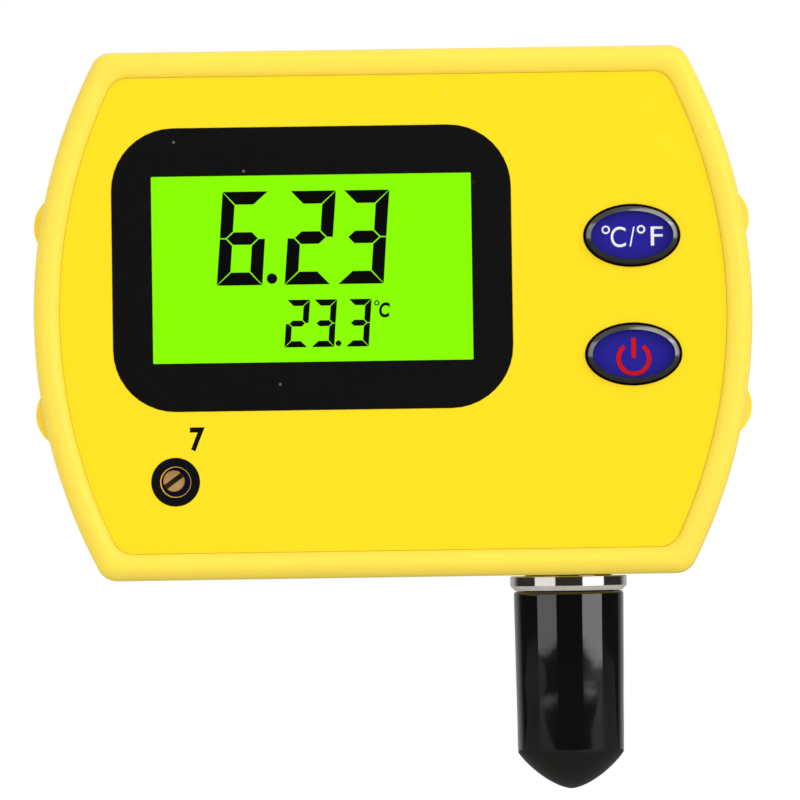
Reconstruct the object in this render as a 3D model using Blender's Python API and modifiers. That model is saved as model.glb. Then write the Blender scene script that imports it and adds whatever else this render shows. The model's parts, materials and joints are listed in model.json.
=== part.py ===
"""A wall-hung pH monitor in a bead-rimmed two-piece case, with a BNC probe jack under a vinyl dust cap.

Metres. The display faces -Y, +X is right as the display is read, and +Z is up.
The origin is the middle of the flat back, which hangs against a wall at y = 0.
"""

import math

import bmesh
import bpy
from mathutils import Matrix, Vector

# Fits
GAP = 0.0003
FILM_GAP = 0.0001
CUT_MARGIN = 0.001

# Case
CASE_WIDTH = 0.102
CASE_HEIGHT = 0.075
CASE_DEPTH = 0.034
CASE_TOP_WIDTH = 0.0828
CASE_CORNER_RADIUS = 0.003
WALL = 0.0022
FRONT_SHELL_DEPTH = 0.014
RIM_WIDTH = 0.0039
RIM_HEIGHT = 0.0017
RIM_CREST_INSET = 0.0019
RIM_SHOULDER = 0.0034
BACK_ROUND = 0.0026
LIP_INSET = 0.0012
LIP_DEPTH = 0.0016
LIP_THICKNESS = 0.0008

# Screw posts at the sides
POST_RADIUS = 0.005
POST_STAND_OUT = 0.00175
POST_HEIGHT_OFFSET = 0.0135
POST_BACK_SET = 0.0012
POST_BEVEL = 0.0008
FRONT_POST_COVER = 0.0003
CASE_SCREW_SHANK_RADIUS = 0.0012
CASE_SCREW_HEAD_RADIUS = 0.0027
CASE_SCREW_HEAD_HEIGHT = 0.0018
CASE_SCREW_LENGTH = 0.0165
CASE_SCREW_SEAT_DEPTH = 0.010

# Face films and window
OVERLAY_THICKNESS = 0.0005
BEZEL_WIDTH = 0.0565
BEZEL_HEIGHT = 0.0401
BEZEL_CORNER_RADIUS = 0.0088
BEZEL_THICKNESS = 0.0006
DISPLAY_FROM_LEFT = 0.0396
DISPLAY_FROM_TOP = 0.0311
VIEW_WIDTH = 0.0453
VIEW_HEIGHT = 0.0267
VIEW_CORNER_RADIUS = 0.0004
WINDOW_LAP = 0.0018
WINDOW_THICKNESS = 0.001
WINDOW_SEAT_LAP = 0.0012

# Display
LCD_LAP = 0.0015
LCD_THICKNESS = 0.0028
BACKLIGHT_THICKNESS = 0.004
LED_LENGTH = 0.0012
LED_HEIGHT = 0.009
LED_DEPTH = 0.0025
ZEBRA_WIDTH = 0.002
HOLDER_WALL = 0.0012
HOLDER_CORNER_RADIUS = 0.001

# Board
BOARD_THICKNESS = 0.0016
BOARD_POST_CLEARANCE = 0.0022
BOARD_END_CLEARANCE = 0.0053
BOARD_CORNER_RADIUS = 0.002
BOARD_POST_RADIUS = 0.0025
BOARD_SCREW_INSET = 0.0042
BOARD_SCREW_SHANK_RADIUS = 0.0009
BOARD_SCREW_HEAD_RADIUS = 0.0019
BOARD_SCREW_HEAD_HEIGHT = 0.0013
BOARD_SCREW_LENGTH = 0.006
LOWER_LEFT_SCREW_FROM_LEFT = 0.037

# Buttons
BUTTON_WIDTH = 0.0132
BUTTON_HEIGHT = 0.00835
UPPER_BUTTON_FROM_TOP = 0.0271
BUTTON_PITCH = 0.0168
BUTTON_FLANGE = 0.0012
BUTTON_FLANGE_THICKNESS = 0.001
BUTTON_STEM_RADIUS = 0.002
BUTTON_INSERT_MARGIN = 0.00055
BUTTON_INSERT_THICKNESS = 0.0003
BUTTON_LENS_MARGIN = 0.0001
BUTTON_LENS_BEVEL = 0.0007
BUTTON_LENS_HEIGHT = 0.0009
SWITCH_SIZE = 0.006
SWITCH_HEIGHT = 0.0035
PLUNGER_RADIUS = 0.0017
PLUNGER_STAND = 0.0012
PLUNGER_DEPTH = 0.0007
PLUNGER_TRAVEL = 0.0008

# Calibration trimmer
TRIMMER_FROM_LEFT = 0.0199
TRIMMER_FROM_BOTTOM = 0.0139
TRIMMER_HOLE_RADIUS = 0.0021
TRIMMER_FILM_HOLE_RADIUS = 0.0023
TRIMMER_WIDTH = 0.0067
TRIMMER_HEIGHT = 0.0045
TRIMMER_SHIFT_X = -0.0003
TRIMMER_SHIFT_Z = 0.0002
TRIMMER_HEAD_RADIUS = 0.0015
TRIMMER_HEAD_HEIGHT = 0.0018
TRIMMER_NECK_RADIUS = 0.0008
TRIMMER_NECK_LENGTH = 0.0016
TRIMMER_SLOT_WIDTH = 0.0007
TRIMMER_SLOT_DEPTH = 0.0006
TRIMMER_SLOT_ANGLE = math.radians(36)
TRIMMER_SEAT = 0.0007

# Probe jack
JACK_FROM_RIGHT = 0.0259
JACK_FROM_BACK = 0.0100
JACK_COLLAR_RADIUS = 0.00635
JACK_COLLAR_LENGTH = 0.0033
JACK_BARREL_RADIUS = 0.00485
JACK_BARREL_LENGTH = 0.0086
JACK_MOUTH_RADIUS = 0.00405
JACK_MOUTH_DEPTH = 0.0053
JACK_BORE_RADIUS = 0.0033
JACK_FLANGE_RADIUS = 0.0073
JACK_FLANGE_THICKNESS = 0.0015
JACK_TAIL_RADIUS = 0.0042
JACK_TAIL_LENGTH = 0.0014
JACK_TAIL_BORE_RADIUS = 0.0020
JACK_LUG_RADIUS = 0.001
JACK_LUG_REACH = 0.00553
JACK_LUG_FROM_END = 0.0047
JACK_CHAMFER = 0.0004
NUT_RADIUS = 0.0085
NUT_THICKNESS = 0.0021
NUT_CHAMFER = 0.0007
INSULATOR_NOSE_RADIUS = 0.0024
INSULATOR_RECESS = 0.0006
CONTACT_RADIUS = 0.00105
CONTACT_BORE_RADIUS = 0.0006
CONTACT_BORE_DEPTH = 0.004
CONTACT_RECESS = 0.0003
CONTACT_TAIL_RADIUS = 0.0007
CONTACT_TAIL_LENGTH = 0.0012
TAG_THICKNESS = 0.0005
TAG_WIDTH = 0.003
TAG_LENGTH = 0.0024

# Dust cap
CAP_RADIUS = 0.008
CAP_LENGTH = 0.0286
CAP_TAPER = 0.00025
CAP_NOSE_LENGTH = 0.0054
CAP_NOSE_POWER = 1.4
CAP_NOSE_ROUND = 0.66
CAP_LIP_ROUND = 0.0009
CAP_END_WALL = 0.0016

# Battery bay
CELL_RADIUS = 0.00525
CELL_LENGTH = 0.0445
CELL_NUB_RADIUS = 0.0019
CELL_NUB_LENGTH = 0.0008
CELL_EDGE = 0.0005
CELL_SPACING = 0.0003
BAY_WALL = 0.0016
BAY_FROM_BOTTOM = 0.0107
BAY_SPRING_SPACE = 0.0058
CONTACT_PLATE_THICKNESS = 0.0004
CONTACT_PLATE_WIDTH = 0.009
CONTACT_TAIL_WIDTH = 0.0024
CONTACT_TAIL_STAND = 0.0015
SPRING_WIRE_RADIUS = 0.00035
SPRING_BASE_RADIUS = 0.0036
SPRING_TIP_RADIUS = 0.0024
SPRING_TURNS = 3.5
CONTACT_SLOT_MARGIN = 0.00025
DOOR_THICKNESS = 0.0013
DOOR_RECESS = 0.0002
DOOR_LAP = 0.0011
DOOR_CORNER_RADIUS = 0.0015
DOOR_TONGUE_WIDTH = 0.006
DOOR_TONGUE_REACH = 0.0018
DOOR_TONGUE_THICKNESS = 0.0006
DOOR_TONGUE_PITCH = 0.03
DOOR_LEG_WIDTH = 0.007
DOOR_LEG_THICKNESS = 0.001
DOOR_LEG_LENGTH = 0.0015
DOOR_LEG_SWING_GAP = 0.0005
THUMB_NOTCH_RADIUS = 0.0055
THUMB_NOTCH_DEPTH = 0.0011

# Wall hanger
KEYHOLE_FROM_TOP = 0.0205
KEYHOLE_ENTRY_RADIUS = 0.0037
KEYHOLE_SLOT_RADIUS = 0.002
KEYHOLE_RISE = 0.0065

# Small parts on the board
CONTROLLER_SIZE = 0.010
CONTROLLER_HEIGHT = 0.0014
CONTROLLER_PLACE = (-0.006, 0.012)
AMPLIFIER_SIZE = (0.005, 0.004)
AMPLIFIER_HEIGHT = 0.0015
AMPLIFIER_PLACE = (0.013, 0.006)
CRYSTAL_SIZE = (0.0105, 0.0042)
CRYSTAL_HEIGHT = 0.0034
CRYSTAL_CORNER_RADIUS = 0.00105
CHIP_CORNER_RADIUS = 0.0003
CRYSTAL_PLACE = (-0.020, 0.004)
CAPACITOR_RADIUS = 0.0025
CAPACITOR_HEIGHT = 0.0052
CAPACITOR_PLACE = (0.020, 0.017)
THERMISTOR_RADIUS = 0.0012
THERMISTOR_PLACE = (-0.028, -0.020)
LEAD_RADIUS = 0.0005
LEAD_BEND = 0.0025
LEAD_CLEARANCE = 0.0015
LEAD_STUB_SHARE = 0.28

# Smoothness
SIDE_STEPS = 12
CORNER_STEPS = 4
RIM_STEPS = 4
BACK_STEPS = 4
OVAL_STEPS = 28
ROUND_STEPS = 28
SMALL_STEPS = 14
SPRING_POINTS_PER_TURN = 8
SPRING_RESOLUTION = 1
LEAD_STEPS = 3
LEAD_RESOLUTION = 2
NOSE_STEPS = 6
LIP_STEPS = 3
CELL_STEPS = 18
TRIMMER_STEPS = 20
BEAD_STEPS = 10
SHARP_ANGLE = math.radians(32)
MERGE_DISTANCE = 0.00001

# Places that follow from the sizes above
FRONT_Y = -CASE_DEPTH
FACE_Y = FRONT_Y + RIM_HEIGHT
FACE_INNER_Y = FACE_Y + WALL
SEAM_Y = FRONT_Y + FRONT_SHELL_DEPTH
FRONT_EDGE_Y = SEAM_Y - GAP / 2
REAR_EDGE_Y = SEAM_Y + GAP / 2
OVERLAY_BACK_Y = FACE_Y - FILM_GAP
OVERLAY_FRONT_Y = OVERLAY_BACK_Y - OVERLAY_THICKNESS

SIDE_BULGE = (CASE_WIDTH - CASE_TOP_WIDTH) / 2
SIDE_RADIUS = ((CASE_HEIGHT / 2) ** 2 + SIDE_BULGE**2) / (2 * SIDE_BULGE)
SIDE_CENTRE_X = CASE_WIDTH / 2 - SIDE_RADIUS
LEFT_X = -CASE_WIDTH / 2
RIGHT_X = CASE_WIDTH / 2
TOP_Z = CASE_HEIGHT / 2
BOTTOM_Z = -CASE_HEIGHT / 2
FLOOR_Z = BOTTOM_Z + WALL

POST_SIDE_X = SIDE_CENTRE_X + math.sqrt(SIDE_RADIUS**2 - POST_HEIGHT_OFFSET**2)
POST_X = POST_SIDE_X + POST_STAND_OUT - POST_RADIUS
FRONT_POST_RADIUS = POST_RADIUS - POST_STAND_OUT - FRONT_POST_COVER
POST_PLACES = [(sx * POST_X, sz * POST_HEIGHT_OFFSET) for sx in (-1, 1) for sz in (1, -1)]

CASE_SCREW_SEAT_Y = -CASE_SCREW_SEAT_DEPTH
CASE_TIP_Y = CASE_SCREW_SEAT_Y + GAP - CASE_SCREW_LENGTH

DISPLAY_X = LEFT_X + DISPLAY_FROM_LEFT
DISPLAY_Z = TOP_Z - DISPLAY_FROM_TOP
LCD_FRONT_Y = FACE_INNER_Y + GAP
LCD_BACK_Y = LCD_FRONT_Y + LCD_THICKNESS
LCD_WIDTH = VIEW_WIDTH + 2 * LCD_LAP
LCD_HEIGHT = VIEW_HEIGHT + 2 * LCD_LAP
BACKLIGHT_FRONT_Y = LCD_BACK_Y + GAP
BACKLIGHT_BACK_Y = BACKLIGHT_FRONT_Y + BACKLIGHT_THICKNESS
BOARD_FRONT_Y = BACKLIGHT_BACK_Y + GAP
BOARD_BACK_Y = BOARD_FRONT_Y + BOARD_THICKNESS
BACKLIGHT_WIDTH = LCD_WIDTH - 2 * (LED_LENGTH + GAP)
BACKLIGHT_HEIGHT = LCD_HEIGHT - 2 * (ZEBRA_WIDTH + GAP)
BOARD_WIDTH = 2 * (POST_X - POST_RADIUS - BOARD_POST_CLEARANCE)
BOARD_HEIGHT = CASE_HEIGHT - 2 * (WALL + BOARD_END_CLEARANCE)
BOARD_SCREW_X = BOARD_WIDTH / 2 - BOARD_SCREW_INSET
BOARD_SCREW_Z = BOARD_HEIGHT / 2 - BOARD_SCREW_INSET
BOARD_SCREW_PLACES = [
    (-BOARD_SCREW_X, BOARD_SCREW_Z),
    (BOARD_SCREW_X, BOARD_SCREW_Z),
    (BOARD_SCREW_X, -BOARD_SCREW_Z),
    (LEFT_X + LOWER_LEFT_SCREW_FROM_LEFT, -BOARD_SCREW_Z),
]
BOARD_TIP_Y = BOARD_BACK_Y + GAP - BOARD_SCREW_LENGTH

BUTTON_X = (DISPLAY_X + BEZEL_WIDTH / 2 + RIGHT_X) / 2
UPPER_BUTTON_Z = TOP_Z - UPPER_BUTTON_FROM_TOP
LOWER_BUTTON_Z = UPPER_BUTTON_Z - BUTTON_PITCH
SWITCH_BACK_Y = BOARD_FRONT_Y - GAP
SWITCH_FRONT_Y = SWITCH_BACK_Y - SWITCH_HEIGHT
PLUNGER_FRONT_Y = SWITCH_FRONT_Y - PLUNGER_STAND
PLUNGER_BACK_Y = SWITCH_FRONT_Y + PLUNGER_DEPTH
FLANGE_FRONT_Y = FACE_INNER_Y + GAP
FLANGE_BACK_Y = FLANGE_FRONT_Y + BUTTON_FLANGE_THICKNESS

TRIMMER_X = LEFT_X + TRIMMER_FROM_LEFT
TRIMMER_Z = BOTTOM_Z + TRIMMER_FROM_BOTTOM
TRIMMER_AXIS_X = TRIMMER_X + TRIMMER_SHIFT_X
TRIMMER_AXIS_Z = TRIMMER_Z + TRIMMER_SHIFT_Z
TRIMMER_FRONT_Y = FACE_INNER_Y + TRIMMER_SEAT
TRIMMER_BACK_Y = BOARD_FRONT_Y - GAP
TRIMMER_HEAD_BACK_Y = TRIMMER_FRONT_Y - GAP
TRIMMER_HEAD_FRONT_Y = TRIMMER_HEAD_BACK_Y - TRIMMER_HEAD_HEIGHT

JACK_X = RIGHT_X - JACK_FROM_RIGHT
JACK_Y = -JACK_FROM_BACK
TAG_BOTTOM_Z = FLOOR_Z + GAP
TAG_TOP_Z = TAG_BOTTOM_Z + TAG_THICKNESS
FLANGE_BOTTOM_Z = TAG_TOP_Z + GAP
FLANGE_TOP_Z = FLANGE_BOTTOM_Z + JACK_FLANGE_THICKNESS
JACK_TOP_Z = FLANGE_TOP_Z + JACK_TAIL_LENGTH
NUT_TOP_Z = BOTTOM_Z - GAP
NUT_BOTTOM_Z = NUT_TOP_Z - NUT_THICKNESS
COLLAR_BOTTOM_Z = NUT_BOTTOM_Z - JACK_COLLAR_LENGTH
JACK_END_Z = COLLAR_BOTTOM_Z - JACK_BARREL_LENGTH
JACK_MOUTH_TOP_Z = JACK_END_Z + JACK_MOUTH_DEPTH
JACK_LUG_Z = JACK_END_Z + JACK_LUG_FROM_END
CAP_TOP_Z = NUT_BOTTOM_Z - GAP
CAP_BOTTOM_Z = CAP_TOP_Z - CAP_LENGTH

DOOR_BACK_Y = -DOOR_RECESS
DOOR_FRONT_Y = DOOR_BACK_Y - DOOR_THICKNESS
CELL_Y = DOOR_FRONT_Y - GAP - CELL_RADIUS
BAY_FLOOR_Y = CELL_Y - CELL_RADIUS - GAP
PLATE_ROOM = GAP + CONTACT_PLATE_THICKNESS + GAP
BAY_LENGTH = CELL_LENGTH + BAY_SPRING_SPACE + 2 * PLATE_ROOM
BAY_LEFT_X = -BAY_LENGTH / 2
BAY_RIGHT_X = BAY_LENGTH / 2
BAY_BOTTOM_Z = BOTTOM_Z + BAY_FROM_BOTTOM
BAY_HEIGHT = 4 * CELL_RADIUS + CELL_SPACING + 2 * GAP
BAY_TOP_Z = BAY_BOTTOM_Z + BAY_HEIGHT
LOWER_CELL_Z = BAY_BOTTOM_Z + GAP + CELL_RADIUS
UPPER_CELL_Z = LOWER_CELL_Z + 2 * CELL_RADIUS + CELL_SPACING
DOOR_TOP_Z = BAY_TOP_Z + DOOR_LAP
DOOR_BOTTOM_Z = BAY_BOTTOM_Z - DOOR_LAP
DOOR_WIDTH = BAY_LENGTH + 2 * DOOR_LAP
DOOR_TONGUE_BACK_Y = DOOR_FRONT_Y + DOOR_TONGUE_THICKNESS
DOOR_TONGUE_SWING = math.hypot(DOOR_TONGUE_REACH, DOOR_THICKNESS)
RIGHT_PLATE_X = BAY_RIGHT_X - GAP - CONTACT_PLATE_THICKNESS
CONTACT_TAIL_Y = BAY_FLOOR_Y - BAY_WALL - CONTACT_TAIL_STAND
LEAD_SEAT_Y = BOARD_BACK_Y + GAP
KEYHOLE_Z = TOP_Z - KEYHOLE_FROM_TOP


def clear_scene():
    for old in list(bpy.data.objects):
        bpy.data.objects.remove(old)


def new_collection(name):
    collection = bpy.data.collections.new(name)
    bpy.context.scene.collection.children.link(collection)
    return collection


def new_material(name, colour, roughness, metallic=0.0):
    material = bpy.data.materials.new(name)
    material.use_nodes = True
    shader = material.node_tree.nodes["Principled BSDF"]
    shader.inputs["Base Color"].default_value = (*colour, 1.0)
    shader.inputs["Roughness"].default_value = roughness
    shader.inputs["Metallic"].default_value = metallic
    material.diffuse_color = (*colour, 1.0)
    return material


class Workshop:
    """The collections and materials that every piece is made with."""

    def __init__(self):
        self.parts = new_collection("ph_meter")
        self.cutters = new_collection("ph_meter_cutters")
        self.materials = {
            "yellow": new_material("yellow_abs", (1.0, 0.66, 0.03), 0.38),
            "film": new_material("yellow_film", (1.0, 0.78, 0.02), 0.25),
            "black": new_material("black_gloss", (0.01, 0.01, 0.011), 0.18),
            "clear": new_material("clear_acrylic", (0.9, 0.93, 0.93), 0.05),
            "blue": new_material("blue_print", (0.03, 0.015, 0.24), 0.25),
            "green": new_material("lit_green", (0.26, 1.0, 0.0), 0.3),
            "white": new_material("white_plastic", (0.85, 0.85, 0.82), 0.4),
            "rubber": new_material("grey_rubber", (0.35, 0.35, 0.36), 0.7),
            "vinyl": new_material("black_vinyl", (0.012, 0.012, 0.013), 0.2),
            "board": new_material("green_board", (0.02, 0.2, 0.06), 0.4),
            "chip": new_material("chip_black", (0.015, 0.015, 0.015), 0.5),
            "nickel": new_material("nickel_plate", (0.75, 0.73, 0.69), 0.2, 1.0),
            "brass": new_material("brass", (0.72, 0.5, 0.2), 0.3, 1.0),
            "steel": new_material("zinc_steel", (0.6, 0.6, 0.6), 0.3, 1.0),
            "cell": new_material("cell_jacket", (0.12, 0.12, 0.13), 0.35),
            "red": new_material("red_insulation", (0.6, 0.02, 0.02), 0.4),
        }

    def part(self, name, data, material, location=(0.0, 0.0, 0.0), parent=None):
        piece = bpy.data.objects.new(name, data)
        self.parts.objects.link(piece)
        piece.location = location
        piece.parent = parent
        if not data.materials:
            data.materials.append(self.materials[material])
        return piece

    def cutter(self, name, data, location=(0.0, 0.0, 0.0)):
        tool = bpy.data.objects.new(name, data)
        self.cutters.objects.link(tool)
        tool.location = location
        tool.hide_render = True
        tool.display_type = "WIRE"
        return tool

    def pivot(self, name, location):
        empty = bpy.data.objects.new(name, None)
        self.parts.objects.link(empty)
        empty.empty_display_size = GAP
        empty.location = location
        return empty


def arc(centre_x, centre_z, radius, start, end, steps):
    angles = [start + (end - start) * step / steps for step in range(steps + 1)]
    return [(centre_x + radius * math.cos(a), centre_z + radius * math.sin(a)) for a in angles]


def case_outline(inset, corner_radius=CASE_CORNER_RADIUS):
    """The arc-sided case outline, drawn in by inset, as a loop of (x, z) points."""
    radius = SIDE_RADIUS - inset
    corner_z = TOP_Z - inset - corner_radius
    corner_x = SIDE_CENTRE_X + math.sqrt((radius - corner_radius) ** 2 - corner_z**2)
    turn = math.atan2(corner_z, corner_x - SIDE_CENTRE_X)
    side = arc(SIDE_CENTRE_X, 0.0, radius, -turn, turn, SIDE_STEPS)
    corner = arc(corner_x, corner_z, corner_radius, turn, math.pi / 2, CORNER_STEPS)[1:]
    half = side + corner + [(-x, z) for x, z in reversed(corner)]
    return half + [(-x, -z) for x, z in half]


def rounded_rectangle(width, height, radius, centre=(0.0, 0.0)):
    corners = []
    for quarter in range(4):
        start = quarter * math.pi / 2
        middle = start + math.pi / 4
        x = centre[0] + math.copysign(width / 2 - radius, math.cos(middle))
        z = centre[1] + math.copysign(height / 2 - radius, math.sin(middle))
        corners += arc(x, z, radius, start, start + math.pi / 2, CORNER_STEPS)
    return corners


def oval(width, height, centre=(0.0, 0.0), steps=OVAL_STEPS):
    unit = arc(0.0, 0.0, 1.0, 0.0, math.tau, steps)[:-1]
    return [(centre[0] + x * width / 2, centre[1] + z * height / 2) for x, z in unit]


def circle(radius, centre=(0.0, 0.0), steps=SMALL_STEPS):
    return oval(2 * radius, 2 * radius, centre, steps)


def keyhole_outline():
    """A round entry for a screw head with a narrow slot rising from it."""
    meet = math.acos(KEYHOLE_SLOT_RADIUS / KEYHOLE_ENTRY_RADIUS)
    slot = arc(0.0, KEYHOLE_Z + KEYHOLE_RISE, KEYHOLE_SLOT_RADIUS, 0.0, math.pi, SMALL_STEPS // 2)
    entry = arc(0.0, KEYHOLE_Z, KEYHOLE_ENTRY_RADIUS, math.pi - meet, math.tau + meet, SMALL_STEPS)
    return slot + entry


def add_loft(mesh, rings, closed=False):
    """Skin a row of equal loops, each (loop, y), and close its ends, or join last to first."""
    rows = [[mesh.verts.new((x, y, z)) for x, z in loop] for loop, y in rings]
    pairs = list(zip(rows, rows[1:]))
    if closed:
        pairs.append((rows[-1], rows[0]))
    for one, two in pairs:
        for index in range(len(one)):
            after = (index + 1) % len(one)
            mesh.faces.new((one[index], two[index], two[after], one[after]))
    if not closed:
        mesh.faces.new(rows[0])
        mesh.faces.new(list(reversed(rows[-1])))


def add_box(mesh, low, high):
    low = Vector(low)
    high = Vector(high)
    place = Matrix.Translation((low + high) / 2) @ Matrix.Diagonal((*(high - low), 1.0))
    bmesh.ops.create_cube(mesh, size=1.0, matrix=place)


def add_pillar(mesh, radius, place, front_y, back_y, steps=SMALL_STEPS):
    """A round pillar along Y at the (x, z) place."""
    middle = Vector((place[0], (front_y + back_y) / 2, place[1]))
    turn = Matrix.Rotation(math.pi / 2, 4, "X")
    bmesh.ops.create_cone(
        mesh,
        cap_ends=True,
        segments=steps,
        radius1=radius,
        radius2=radius,
        depth=back_y - front_y,
        matrix=Matrix.Translation(middle) @ turn,
    )


def add_upright(mesh, radius, low_z, high_z, steps=ROUND_STEPS):
    """A round pillar along Z on the local axis."""
    bmesh.ops.create_cone(
        mesh,
        cap_ends=True,
        segments=steps,
        radius1=radius,
        radius2=radius,
        depth=high_z - low_z,
        matrix=Matrix.Translation((0.0, 0.0, (low_z + high_z) / 2)),
    )


def finish_mesh(name, mesh):
    bmesh.ops.recalc_face_normals(mesh, faces=mesh.faces)
    data = bpy.data.meshes.new(name)
    mesh.to_mesh(data)
    mesh.free()
    data.shade_smooth()
    data.set_sharp_from_angle(angle=SHARP_ANGLE)
    return data


def loft_mesh(name, rings, closed=False):
    mesh = bmesh.new()
    add_loft(mesh, rings, closed)
    return finish_mesh(name, mesh)


def prism_mesh(name, loop, front_y, back_y):
    return loft_mesh(name, [(loop, front_y), (loop, back_y)])


def frame_mesh(name, outer, inner, front_y, back_y):
    """A flat frame between two loops with equal numbers of points."""
    rings = [(outer, front_y), (outer, back_y), (inner, back_y), (inner, front_y)]
    return loft_mesh(name, rings, closed=True)


def box_mesh(name, low, high):
    mesh = bmesh.new()
    add_box(mesh, low, high)
    return finish_mesh(name, mesh)


def pillars_mesh(name, radius, places, front_y, back_y):
    mesh = bmesh.new()
    for place in places:
        add_pillar(mesh, radius, place, front_y, back_y)
    return finish_mesh(name, mesh)


def profile_mesh(name, points, ring=False):
    """A profile of (radius, height) points in the XZ plane, for a Screw modifier."""
    edges = [(index, index + 1) for index in range(len(points) - 1)]
    if ring:
        edges.append((len(points) - 1, 0))
    data = bpy.data.meshes.new(name)
    data.from_pydata([(radius, 0.0, height) for radius, height in points], edges, [])
    return data


def turn_on_lathe(piece, steps=ROUND_STEPS):
    screw = piece.modifiers.new("lathe", "SCREW")
    screw.axis = "Z"
    screw.angle = math.tau
    screw.steps = steps
    screw.render_steps = steps
    screw.use_merge_vertices = True
    screw.merge_threshold = MERGE_DISTANCE
    screw.use_smooth_shade = True


def combine(piece, tool, operation="DIFFERENCE"):
    modifier = piece.modifiers.new(tool.name, "BOOLEAN")
    modifier.operation = operation
    modifier.object = tool


def tube_curve(name, points, radius, resolution):
    curve = bpy.data.curves.new(name, "CURVE")
    curve.dimensions = "3D"
    curve.bevel_depth = radius
    curve.bevel_resolution = resolution
    curve.use_fill_caps = True
    spline = curve.splines.new("POLY")
    spline.points.add(len(points) - 1)
    for target, point in zip(spline.points, points):
        target.co = (*point, 1.0)
    return curve


def smooth_route(points):
    """Points read from a smooth curve through the points of a lead's route."""
    route = [Vector(point) for point in points]
    route = [2 * route[0] - route[1], *route, 2 * route[-1] - route[-2]]
    smooth = []
    for before, start, end, after in zip(route, route[1:], route[2:], route[3:]):
        for step in range(LEAD_STEPS):
            t = step / LEAD_STEPS
            pull = (end - before) * t + (2 * before - 5 * start + 4 * end - after) * t**2
            pull += (3 * start - before - 3 * end + after) * t**3
            smooth.append(start + pull / 2)
    smooth.append(route[-2])
    return smooth


def make_front_shell(shop):
    rings = [(case_outline(0.0), FRONT_EDGE_Y), (case_outline(0.0), FRONT_Y + RIM_SHOULDER)]
    for step in range(1, RIM_STEPS + 1):
        angle = math.pi / 2 * step / RIM_STEPS
        inset = RIM_CREST_INSET * (1 - math.cos(angle))
        rings.append((case_outline(inset), FRONT_Y + RIM_SHOULDER * (1 - math.sin(angle))))
    for step in range(1, RIM_STEPS + 1):
        angle = math.pi / 2 * step / RIM_STEPS
        inset = RIM_CREST_INSET + (RIM_WIDTH - RIM_CREST_INSET) * math.sin(angle)
        rings.append((case_outline(inset), FACE_Y - RIM_HEIGHT * math.cos(angle)))
    shell = shop.part("front_shell", loft_mesh("front_shell", rings), "yellow")

    room = [(case_outline(WALL), FACE_INNER_Y), (case_outline(WALL), FRONT_EDGE_Y + CUT_MARGIN)]
    combine(shell, shop.cutter("front_room", loft_mesh("front_room", room)))

    posts = bmesh.new()
    for place in POST_PLACES:
        add_pillar(posts, FRONT_POST_RADIUS, place, FACE_INNER_Y - CUT_MARGIN, FRONT_EDGE_Y - GAP)
    for place in BOARD_SCREW_PLACES:
        add_pillar(posts, BOARD_POST_RADIUS, place, FACE_INNER_Y - CUT_MARGIN, BOARD_FRONT_Y - GAP)
    combine(shell, shop.cutter("front_posts", finish_mesh("front_posts", posts)), "UNION")

    rebate = frame_mesh(
        "front_rebate",
        case_outline(LIP_INSET - GAP),
        case_outline(WALL + CUT_MARGIN),
        FRONT_EDGE_Y - LIP_DEPTH - GAP,
        FRONT_EDGE_Y + CUT_MARGIN,
    )
    combine(shell, shop.cutter("front_rebate", rebate))

    centre = (DISPLAY_X, DISPLAY_Z)
    seat = rounded_rectangle(
        VIEW_WIDTH + 2 * (WINDOW_LAP + GAP), VIEW_HEIGHT + 2 * (WINDOW_LAP + GAP), WINDOW_LAP, centre
    )
    seat_floor = FACE_Y + WINDOW_THICKNESS + GAP
    seat_mesh = prism_mesh("window_seat", seat, FACE_Y - CUT_MARGIN, seat_floor)
    combine(shell, shop.cutter("window_seat", seat_mesh))

    opening_width = VIEW_WIDTH + 2 * (WINDOW_LAP - WINDOW_SEAT_LAP)
    opening_height = VIEW_HEIGHT + 2 * (WINDOW_LAP - WINDOW_SEAT_LAP)
    through = (FACE_Y - CUT_MARGIN, FACE_INNER_Y + CUT_MARGIN)
    holes = bmesh.new()
    loops = [rounded_rectangle(opening_width, opening_height, VIEW_CORNER_RADIUS, centre)]
    for button_z in (UPPER_BUTTON_Z, LOWER_BUTTON_Z):
        loops.append(oval(BUTTON_WIDTH + 2 * GAP, BUTTON_HEIGHT + 2 * GAP, (BUTTON_X, button_z)))
    loops.append(circle(TRIMMER_HOLE_RADIUS, (TRIMMER_X, TRIMMER_Z), ROUND_STEPS))
    for loop in loops:
        add_loft(holes, [(loop, through[0]), (loop, through[1])])
    for place in POST_PLACES:
        add_pillar(holes, CASE_SCREW_SHANK_RADIUS + GAP, place, CASE_TIP_Y - GAP, FRONT_EDGE_Y + CUT_MARGIN)
    for place in BOARD_SCREW_PLACES:
        add_pillar(holes, BOARD_SCREW_SHANK_RADIUS + GAP, place, BOARD_TIP_Y - GAP, BOARD_FRONT_Y)
    combine(shell, shop.cutter("front_holes", finish_mesh("front_holes", holes)))


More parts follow.
